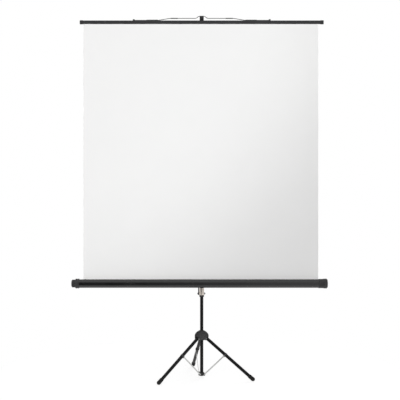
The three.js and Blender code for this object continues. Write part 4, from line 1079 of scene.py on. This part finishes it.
class SCREEN_OT_mast(Operator):
    """Makes the three mast tubes, the clamps, the case's pivot, the hook and the hand knobs"""

    bl_idname = "screen_kit.mast"
    bl_label = "Mast"

    def execute(self, context):
        sizes = context.scene.screen_sizes
        tubes = (
            ("mast_post", "mast_lower_tube", "tube paint"),
            ("middle_post", "mid_mast_tube", "tube paint"),
            ("extension_post", "extension_tube", "bright zinc"),
        )
        for name, node, look in tubes:
            low, high, outer = round_size(node, Z_AXIS, Y_AXIS)
            body = tube(MAST, Z_AXIS, outer, outer - sizes.tube_wall, low, high, sizes.edge, 64)
            piece(name, node, look, body)
        self.clamp(sizes)
        self.pivot(sizes)
        self.hook(sizes)
        self.lower_ring(sizes)
        self.extension_collar(sizes)
        self.lever()
        self.knob(sizes, "hub_knob", "hub_lock_knob", JOINTS["hub_knob_turn"])
        self.knob(sizes, "extension_knob", "extension_clamp_knob", JOINTS["extension_knob_turn"])
        self.bolt()
        return {"FINISHED"}

    def clamp(self, sizes):
        """The plated clamp: a strip bent round the lower tube, with two ears behind, below a full sleeve.

        Seen from above, the strip follows the sleeve's radius into both ears and comes back along the bore.
        """
        node = "height_clamp_sleeve"
        low, high, outer = round_size(node, Z_AXIS, X_AXIS)
        back = reach(node, Y_AXIS, MAST)[1]
        half = -reach("clamp_lever", X_AXIS, MAST)[1] - sizes.fit
        bore = half_width("mast_lower_tube", Y_AXIS) + sizes.fit
        neck = half_width("mid_mast_tube", Y_AXIS) + sizes.fit
        shoulder = reach("mast_lower_tube", Z_AXIS)[1] + sizes.fit
        top = low + sizes.clamp_ear_height
        slit = 0.001
        corner = 0.003
        start = np.arccos(half / outer)
        lean = np.arcsin(slit / bore)
        around = np.linspace(start, -pi - start, 73)
        inside = np.linspace(-1.5 * pi + lean, 0.5 * pi - lean, 73)
        arcs = [r * np.stack((np.cos(a), np.sin(a)), -1) for r, a in ((outer, around), (bore, inside))]
        ear = np.array(((half, back - corner), (half - corner, back), (slit, back)))
        outline = np.concatenate((arcs[0], ear * (-1, 1), arcs[1], ear[::-1]))[::-1]
        strip = prism(outline, MAST, X_AXIS, Y_AXIS, Z_AXIS, low, top, 0.0009, 4)
        groove_low, groove_high, depth, slope = high - 0.009, high - 0.004, 0.0007, 0.0015
        profile = (
            (bore, top), (outer, top), *groove(outer, groove_low, groove_high, depth, slope), (outer, high),
            (neck, high), (neck, shoulder), (bore, shoulder),
        )
        sleeve = turned(profile, MAST, Z_AXIS, 0.0008, 72, closed=True)
        piece("clamp_sleeve", node, "zinc", strip, sleeve)

    def pivot(self, sizes):
        """The bracket that the case turns on: a sleeve on the middle tube and a boss about Y.

        A washer lies before the boss, and two screws hold the plate on the case.
        """
        node = "pivot_bracket"
        low, high, outer = round_size(node, Z_AXIS, X_AXIS)
        bore = half_width("mid_mast_tube", Y_AXIS) + sizes.fit
        place = MAST + joint_place("case_turn") * Z_AXIS
        face = reach(node, Y_AXIS, place)[0]
        boss = half_width("pivot_washer", Z_AXIS)
        sleeve = tube(MAST, Z_AXIS, outer, bore, low, high, 0.0012, 72)
        start, end, depth = face + 0.006, face + 0.0112, 0.0012
        profile = ((0, face), (boss, face), *groove(boss, start, end, depth, depth), (boss, -bore),
                   (0, -bore))
        piece("pivot_sleeve", node, "black paint", sleeve, turned(profile, place, Y_AXIS, 0.001, 56))
        near, far = reach("pivot_washer", Y_AXIS, place)
        washer_bore = 0.0045
        washer = tube(place, Y_AXIS, boss, washer_bore, near, far, 0.0004, 48)
        piece("pivot_spacer", "pivot_washer", "plastic", washer)
        for screw in (1, 2):
            self.screw(f"bracket_screw_{screw}")

    def screw(self, node):
        """A button-head screw about Y, whose socket is a hexagon.

        For each sixth of a turn, r = R cos(pi / 6) / cos(a - pi / 6).
        """
        place = middle(node) * (1, 0, 1)
        low, high, outer = round_size(node, Y_AXIS, Z_AXIS)
        socket, mouth, shank = 0.0024, 0.00264, 0.0022
        seat, side, crown = high - 0.0025, high - 0.0018, high - 0.0004
        lip, floor, floor_middle, below_floor = high - 0.0002, high - 0.0014, high - 0.0016, high - 0.002

        def scale(r, h, a):
            sixth = np.mod(a, pi / 3) - pi / 6
            inside = (r < (socket + mouth) / 2) & (h > below_floor)
            return np.where(inside, cos(pi / 6) / np.cos(sixth), 1.0)

        profile = (
            (0, low), (shank, low), (shank, seat), (outer, seat), (outer, side), (0.75 * outer, crown),
            (mouth, high), (socket, lip), (socket, floor), (0, floor_middle),
        )
        piece(f"plate_{node}", node, "steel", turned(profile, place, Y_AXIS, 0.0002, 48, scale, steps=2))

    def hook(self, sizes):
        """The moulded hook on the mast's top: its side outline, with rounded corners, carried along X.

        The outline has a seat just under the bail wire, a lip in front of the wire and a wall behind it.
        """
        node = "mast_top_hook"
        left, right = reach(node, X_AXIS)
        low = reach(node, Z_AXIS)[0]
        front, back = reach(node, Y_AXIS, MAST)
        points = node_points("bail_wire") - MAST
        radius = joint_place("bail_swing")[2] - points[:, 2].min()
        _, wire_y, wire_top = points[points[:, 2].argmax()]
        seat = wire_top - 2 * radius - sizes.fit
        wall, lip, arm = 0.006, 0.0018, 0.014
        gap = radius + sizes.fit
        fine = 0.0006
        # Each corner's place in y and z, and its rounding
        corners = np.array((
            (back, low, 0.003), (back, self.socket_top(back), 0.004), (wire_y + 0.010, seat + wall, 0.003),
            (wire_y + 2 * radius, seat + wall, 0.0008), (wire_y + gap, seat, fine),
            (wire_y - gap, seat, fine), (wire_y - radius - lip, seat + lip, fine),
            (front, seat + lip, 0.0015), (front, seat - arm, 0.004), (-back, low + arm, 0.006),
            (-back, low, 0.003),
        ))
        outline = round_loop(corners[:, :2], corners[:, 2])
        body = beam(outline, MAST * (0, 1, 0), left, right, 0.0022, 5)
        piece("top_hook", node, "plastic", body)

    def socket_top(self, back):
        """Height of the hook's rear corner: its highest point on the rear face."""
        points = node_points("mast_top_hook") - MAST
        return points[points[:, 1] > back - 1e-5][:, 2].max()

    def lower_ring(self, sizes):
        """A moulded ring with a rounded groove, turned about the mast."""
        node = "clamp_lower_ring"
        low, high, outer = round_size(node, Z_AXIS, Y_AXIS)
        bore = half_width("mast_lower_tube", Y_AXIS) + sizes.snug
        waist, dent = (low + high) / 2, 0.0009
        edge, slope = 0.001, 0.002
        profile = ((bore, low), (outer - edge, low), (outer, low + slope), (outer - dent, waist),
                   (outer, high - slope), (outer - edge, high), (bore, high))
        ring = turned(profile, MAST, Z_AXIS, sizes.moulded_edge, 64, closed=True)
        piece("clamp_ring", node, "plastic", ring)

    def extension_collar(self, sizes):
        """The collar on top of the middle tube: a wide grip and a neck that closes on the extension."""
        node = "extension_clamp_collar"
        low, high, outer = round_size(node, Z_AXIS, Y_AXIS)
        grip = half_width("mid_mast_tube", Y_AXIS) + sizes.snug
        neck = half_width("extension_tube", Y_AXIS) + sizes.snug
        shoulder = reach("mid_mast_tube", Z_AXIS)[1] + sizes.fit
        start, end, depth, slope = shoulder - 0.004, shoulder + 0.003, 0.0012, 0.002
        low_edge, low_slope, high_edge, high_slope = 0.001, 0.003, 0.003, 0.004
        profile = (
            (grip, low), (outer - low_edge, low), (outer, low + low_slope),
            *groove(outer, start, end, depth, slope), (outer, high - high_slope),
            (outer - high_edge, high), (neck, high), (neck, shoulder), (grip, shoulder),
        )
        collar = turned(profile, MAST, Z_AXIS, sizes.moulded_edge, 64, closed=True)
        piece("extension_collar", node, "plastic", collar)

    def lever(self):
        """The clamp lever: a round boss on the bolt and an arm that narrows upward to a rounded tip."""
        node = "clamp_lever"
        place = joint_place("clamp_lever_swing")
        low, high = reach(node, X_AXIS)
        bottom, tip = reach(node, Z_AXIS, place)
        origin = place * (0, 1, 1)
        disc = ((0, low), (-bottom, low), (-bottom, high), (0, high))
        boss = turned(disc, origin, X_AXIS, 0.0016, 40)
        inset, thick, corner, edge = 0.0015, 0.007, 0.003, 0.0018
        # Half the arm's width at each height above the bolt
        half = ((0.0052, -0.002), (0.0046, 0.5 * tip), (0.0038, tip - 0.003), (0.0018, tip))
        corners = [*half, *((-y, z) for y, z in half[::-1])]
        outline = round_loop(corners, corner)
        arm = beam(outline, origin, low + inset, low + inset + thick, edge, 4)
        piece("lever", node, "plastic", boss, arm)

    def knob(self, sizes, name, node, joint):
        """A hand knob: a domed head with lobes, r = R (1 - d (1 - cos n a) / 2), on a stem."""
        axis = unit(joint["axis"])
        place = np.array(joint["pos_m"], float)
        low, high = reach(node, axis, place)
        outer = reach(node, across(axis)[0], place)[1]
        head = high - sizes.knob_depth
        lobes = sizes.knob_lobes
        lobe_depth = 0.15

        def scale(r, h, a):
            grip = np.clip((r - 0.55 * outer) / (0.3 * outer), 0, 1)
            return 1 - lobe_depth * grip * (1 - np.cos(lobes * a)) / 2

        stem, neck, neck_height, taper = 0.004, 0.007, 0.003, 0.0005
        edge, crown, brow = 0.003, 0.005, 0.001
        profile = (
            (0, low), (stem, low), (stem, head - neck_height), (neck, head - neck_height),
            (neck + taper, head), (outer - edge, head), (outer, head + edge), (outer, high - crown),
            (outer - edge, high - brow), (0.5 * outer, high), (0, high),
        )
        piece(name, node, "plastic", turned(profile, place, axis, 0.0015, 24 * lobes, scale), sharp=50)

    def bolt(self):
        """The clamp bolt with a domed head, turned about X."""
        node = "clamp_bolt"
        place = middle(node) * (0, 1, 1)
        low, high = reach(node, X_AXIS)
        outer = reach(node, Z_AXIS, place)[1]
        shank, chamfer = 0.003, 0.0006
        seat = low + 0.0045
        # The head's dome, as shares of its radius and depths below its top
        dome = ((0, 0), (0.55, 0.0003), (0.9, 0.0016))
        profile = [(part * outer, low + depth) for part, depth in dome]
        profile += [(outer, seat), (shank, seat), (shank, high - chamfer), (shank - chamfer, high),
                    (0, high)]
        piece("cross_bolt", node, "steel", turned(profile, place, X_AXIS, 0.0005, 40))


class SCREEN_OT_hub(Operator):
    """Makes the dome cover over the leg hub"""

    bl_idname = "screen_kit.hub"
    bl_label = "Hub cover"

    def execute(self, context):
        """A shell of revolution whose rim rises in an arch over each leg.

        Above the shoulder its profile is r = R cos(q)^(2 / power), z = shoulder + rise sin q. Below it the
        wall is straight. At the angle a from a leg its rim rises by arch (1 - (s / half)^4), s = R sin a.
        """
        sizes = context.scene.screen_sizes
        node = "hub_dome_cover"
        low, high, outer = round_size(node, Z_AXIS, X_AXIS)
        bore = half_width("mast_lower_tube", X_AXIS) + sizes.fit
        exponent = sizes.dome_power
        shoulder = high - sizes.dome_rise * sqrt(1 - (bore / outer) ** exponent)
        sides, skirt_rows, crown_rows = 240, 8, 18
        angle = np.linspace(0, 2 * pi, sides, endpoint=False)
        arch = np.zeros(sides)
        for side in SIDES:
            leg = joint_place(f"leg_{side}_hinge") - MAST
            away = angle - atan2(leg[1], leg[0])
            s = outer * np.sin(away) / sizes.arch_half
            arch = np.maximum(arch, np.clip(1 - s ** 4, 0, 1) * (np.cos(away) > 0))
        rise = sizes.arch_rise * arch
        skirt = np.linspace(0, 1, skirt_rows)
        inner, inner_rise = outer - sizes.dome_wall, sizes.dome_rise - sizes.dome_crown
        inner_bore = bore + 0.0052
        walls = []
        for start, crown, end in ((outer, sizes.dome_rise, bore), (inner, inner_rise, inner_bore)):
            q = np.linspace(0, np.arccos((end / start) ** (exponent / 2)), crown_rows)[1:]
            radius = np.concatenate((np.full(skirt_rows, start), start * np.cos(q) ** (2 / exponent)))
            level = np.concatenate((low + (shoulder - low) * skirt, shoulder + crown * np.sin(q)))
            lift = np.concatenate((1 - skirt, np.zeros(len(q))))
            walls.append((radius[:, None] + 0 * rise, level[:, None] + lift[:, None] * rise))
        (outside, outside_level), (inside, inside_level) = walls
        radius = np.concatenate((outside, outside[-1:], inside[::-1]))
        level = np.concatenate((outside_level, inside_level[-1:], inside_level[::-1]))
        grid = MAST + np.stack((radius * np.cos(angle), radius * np.sin(angle), level), -1)
        rim_wear = 0.6
        worn = np.zeros(len(radius))
        worn[:2] = rim_wear
        cover = piece("dome_cover", node, "textured", shell(grid, True, worn))
        round_edges(cover, sizes.edge, 50)
        return {"FINISHED"}


class SCREEN_OT_legs(Operator):
    """Makes the legs, their feet, pins and clips, the struts and the foot collar"""

    bl_idname = "screen_kit.legs"
    bl_label = "Legs and struts"

    def execute(self, context):
        sizes = context.scene.screen_sizes
        for side in SIDES:
            self.leg(sizes, side)
        self.collar(sizes)
        return {"FINISHED"}

    def collar(self, sizes):
        """The foot collar: a flanged ring about the mast, with an ear and a riveted pin for each strut."""
        node = "strut_collar"
        low, high = reach(node, Z_AXIS)
        bore = half_width("mast_lower_tube", Y_AXIS) + sizes.fit
        step = low + sizes.flange_height
        neck, wide, ear = sizes.collar_neck, sizes.rivet_head, 0.004
        taper, fillet, chamfer = 0.001, 0.0012, 0.001
        ear_root, ear_corner = 0.0002, 0.006
        profile = ((bore, low), (sizes.collar_flange, low), (sizes.collar_flange, step),
                   (neck + taper, step + fillet), (neck, high - chamfer), (bore, high))
        body = [turned(profile, MAST, Z_AXIS, 0.0012, 72, closed=True)]
        rivets = []
        for side in SIDES:
            pivot = joint_place(f"strut_{side}_hinge")
            radial = unit((pivot - MAST) * (1, 1, 0))
            tangent = np.cross(Z_AXIS, radial)
            strut_faces = reach(f"strut_{side}", tangent, pivot)
            near = np.abs(strut_faces).min()
            axis = tangent * np.sign(sum(strut_faces))
            end = (pivot - MAST) @ radial + wide
            corners = ((0.5 * neck, low), (end, low), (end, high), (0.5 * neck, high))
            outline = round_loop(corners, (ear_root, ear_corner, ear_corner, ear_root), 6)
            face = near - sizes.fit
            body.append(prism(outline, MAST, radial, Z_AXIS, axis, face - ear, face, 0.0008, 3))
            head = near + sizes.strut_thickness + sizes.fit
            start, shank = face - 0.002, 0.0025
            rim, crown, top = head + 0.0008, head + 0.002, head + 0.0022
            pin = ((0, start), (shank, start), (shank, head), (wide, head), (wide, rim),
                   (0.7 * wide, crown), (0, top))
            rivets.append(turned(pin, pivot, axis, 0.0004, 32))
        piece("foot_collar", node, "plastic", *body)
        piece("collar_rivets", node, "steel", *rivets, slot="steel")

    def leg(self, sizes, side):
        """A tube from the hub's pin to the foot, with a clip, a rubber boot, a pin and a strut."""
        node = f"leg_{side}"
        pivot = joint_place(f"leg_{side}_hinge")
        ball = np.array(MOUNTS[f"sole_{side}"]["pos_m"], float) + sizes.foot_ball_height * Z_AXIS
        down = unit(ball - pivot)
        tangent = np.cross(Z_AXIS, unit((pivot - MAST) * (1, 1, 0)))
        under = np.cross(tangent, down)
        low, high, outer = round_size(node, down, tangent, pivot)
        body = tube(pivot, down, outer, outer - sizes.leg_wall, low, high, sizes.edge, 48)
        piece(f"leg_tube_{side}", node, "tube paint", body)
        self.clip(sizes, side, pivot, down, under, tangent, outer)
        self.foot(sizes, side, pivot, ball, tangent, outer)
        self.pin(side, pivot, tangent)
        upper = pivot + down * sizes.clip_distance + under * sizes.clip_drop
        self.strut(sizes, side, upper, tangent)

    def clip(self, sizes, side, pivot, down, under, tangent, leg_radius):
        """A band round the leg, with a flat pad of rounded corners that its strut lies against."""
        node = f"leg_clip_{side}"
        low, high = reach(node, down, pivot)
        bore = leg_radius + sizes.fit
        band = tube(pivot, down, bore + sizes.clip_wall, bore, low, high, 0.0007, 48)
        ends = reach(node, tangent, pivot)
        face = np.abs(ends).max()
        wide = sizes.rivet_head
        edge = sizes.clip_drop + wide
        outline = round_loop(((-wide, low), (edge, low), (edge, high), (-wide, high)), 0.003)
        pad = prism(outline, pivot, under, down, tangent * np.sign(sum(ends)), bore, face, 0.0005, 3)
        piece(f"strut_clip_{side}", node, "plastic", band, pad)

    def foot(self, sizes, side, pivot, ball, tangent, leg_radius):
        """A rubber boot turned about the leg: two raised rings and a round end, pressed flat at z = 0."""
        node = f"rubber_foot_{side}"
        down = unit(ball - pivot)
        size = np.linalg.norm(ball - pivot)
        top = reach(node, down, pivot)[0]
        outer = half_width(node, tangent)
        bore = leg_radius + sizes.snug
        socket = reach(f"leg_{side}", down, pivot)[1] + sizes.fit
        ring, ring_length, round_start = 0.0012, 0.0044, size - 0.004
        waist = outer - ring
        profile = [(0, socket), (bore, socket), (bore, top), (waist, top)]
        for start in (top + 0.006, top + 0.013):
            profile += groove(waist, start, start + ring_length, -ring, ring)
        profile.append((outer, round_start))
        profile += [(outer * cos(q), size + outer * sin(q)) for q in np.linspace(0, pi / 2, 12)]
        points, *rest = turned(profile, pivot, down, 0.0007, 56, steps=3)
        points[:, 2] = np.maximum(points[:, 2], 0.0)
        piece(f"foot_{side}", node, "rubber", (points, *rest), sharp=50)

    def pin(self, side, pivot, tangent):
        """A pin with two low domed heads, turned about the leg's hinge."""
        node = f"leg_pin_{side}"
        low, high = reach(node, tangent, pivot)
        head, shank, thick = 0.005, 0.003, 0.002
        # Radius and depth below the top, from the middle of a head to its shank
        half = ((0, 0), (0.6 * head, 0.0002), (head, 0.0011), (head, thick), (shank, thick))
        profile = [(r, low + h) for r, h in half] + [(r, high - h) for r, h in reversed(half)]
        piece(f"hinge_pin_{side}", node, "steel", turned(profile, pivot, tangent, 0.0004, 32))

    def strut(self, sizes, side, upper, tangent):
        """A flat bar with round ends between two pivots, with a domed rivet head at its upper end.

        Its plating is a look of its own, whose drawing lines follow the bar.
        """
        node = f"strut_{side}"
        lower = joint_place(f"strut_{side}_hinge")
        rise = unit(upper - lower)
        size = np.linalg.norm(upper - lower)
        ends = np.array(reach(node, tangent, lower))
        inner, head_end = np.sort(np.abs(ends))
        axis = tangent * np.sign(ends.sum())
        outer = inner + sizes.strut_thickness
        outline = stadium(sizes.strut_width, size + sizes.strut_width, 14)
        sideways = np.cross(rise, tangent)
        bar = prism(outline, (lower + upper) / 2, sideways, rise, axis, inner, outer, 0.0005, 3)
        foot, wide = inner + 0.0005, sizes.rivet_head
        rim, crown, crown_radius = outer + 0.0006, head_end - 0.0004, 0.003
        head = ((0, foot), (wide, foot), (wide, rim), (crown_radius, crown), (0, head_end))
        rivet = turned(head, upper, axis, 0.0008, 32)
        lean = atan2(rise @ unit((upper - lower) * (1, 1, 0)), rise[2])
        heading = atan2(rise[1], rise[0])
        title = f"Bright zinc plate {side} strut"
        LOOKS[node] = (plated, title, "bright_zinc", 0.32, ALONG_Z, (0.0, -lean, -heading))
        piece(f"strut_bar_{side}", node, node, bar, rivet)


class SCREEN_OT_roller(Operator):
    """Makes the roller tube inside the case"""

    bl_idname = "screen_kit.roller"
    bl_label = "Roller"

    def execute(self, context):
        sizes = context.scene.screen_sizes
        node = "roller_tube"
        low, high, outer = round_size(node, X_AXIS, Z_AXIS)
        axis = middle(node) * (0, 1, 1)
        body = tube(axis, X_AXIS, outer, outer - sizes.tube_wall, low, high, sizes.edge, 48)
        piece("roller", node, "steel", body)
        return {"FINISHED"}


class SCREEN_OT_fittings(Operator):
    """Gives every CAD node that stays in view its finish and rounded edges"""

    bl_idname = "screen_kit.fittings"
    bl_label = "Fittings"

    def execute(self, context):
        sizes = context.scene.screen_sizes
        for node, obj in NODES.items():
            if obj.hide_render:
                continue
            slot = slot_of(node)
            moulding = slot in ("plastic", "textured_plastic")
            dress(node, SLOT_FINISH[slot], sizes.fitting_edge if moulding else sizes.edge)
        return {"FINISHED"}


class VIEW3D_PT_projection_screen(Panel):
    """Lists the screen's operators and settings"""

    bl_label = "Projection Screen"
    bl_space_type = "VIEW_3D"
    bl_region_type = "UI"
    bl_category = "Screen"

    def draw(self, context):
        for operator in OPERATORS:
            self.layout.operator(operator.bl_idname)
        for group_name in GROUPS:
            group = getattr(context.scene, group_name)
            box = self.layout.box()
            for name in group.__annotations__:
                box.prop(group, name)


GROUPS = {"screen_sizes": ScreenSizes, "screen_colours": ScreenColours, "stage_settings": StageSettings}
OPERATORS = (SCREEN_OT_stage, SCREEN_OT_cloth, SCREEN_OT_case, SCREEN_OT_batten, SCREEN_OT_mast,
             SCREEN_OT_hub, SCREEN_OT_legs, SCREEN_OT_roller, SCREEN_OT_fittings)
CLASSES = (*GROUPS.values(), *OPERATORS, VIEW3D_PT_projection_screen)


def register():
    """Makes the add-on's classes and settings known to Blender."""
    for cls in CLASSES:
        bpy.utils.register_class(cls)
    for name, group in GROUPS.items():
        setattr(bpy.types.Scene, name, PointerProperty(type=group))


def unregister():
    """Takes the add-on's settings and classes out of Blender."""
    for name in GROUPS:
        delattr(bpy.types.Scene, name)
    for cls in reversed(CLASSES):
        bpy.utils.unregister_class(cls)


def main():
    for obj in list(bpy.context.scene.objects):
        if obj.type in {"LIGHT", "CAMERA"} or obj.name == "Cube":
            bpy.data.objects.remove(obj)
    register()
    for operator in OPERATORS:
        group, name = operator.bl_idname.split(".")
        getattr(getattr(bpy.ops, group), name)()


if __name__ == "__main__":
    main()
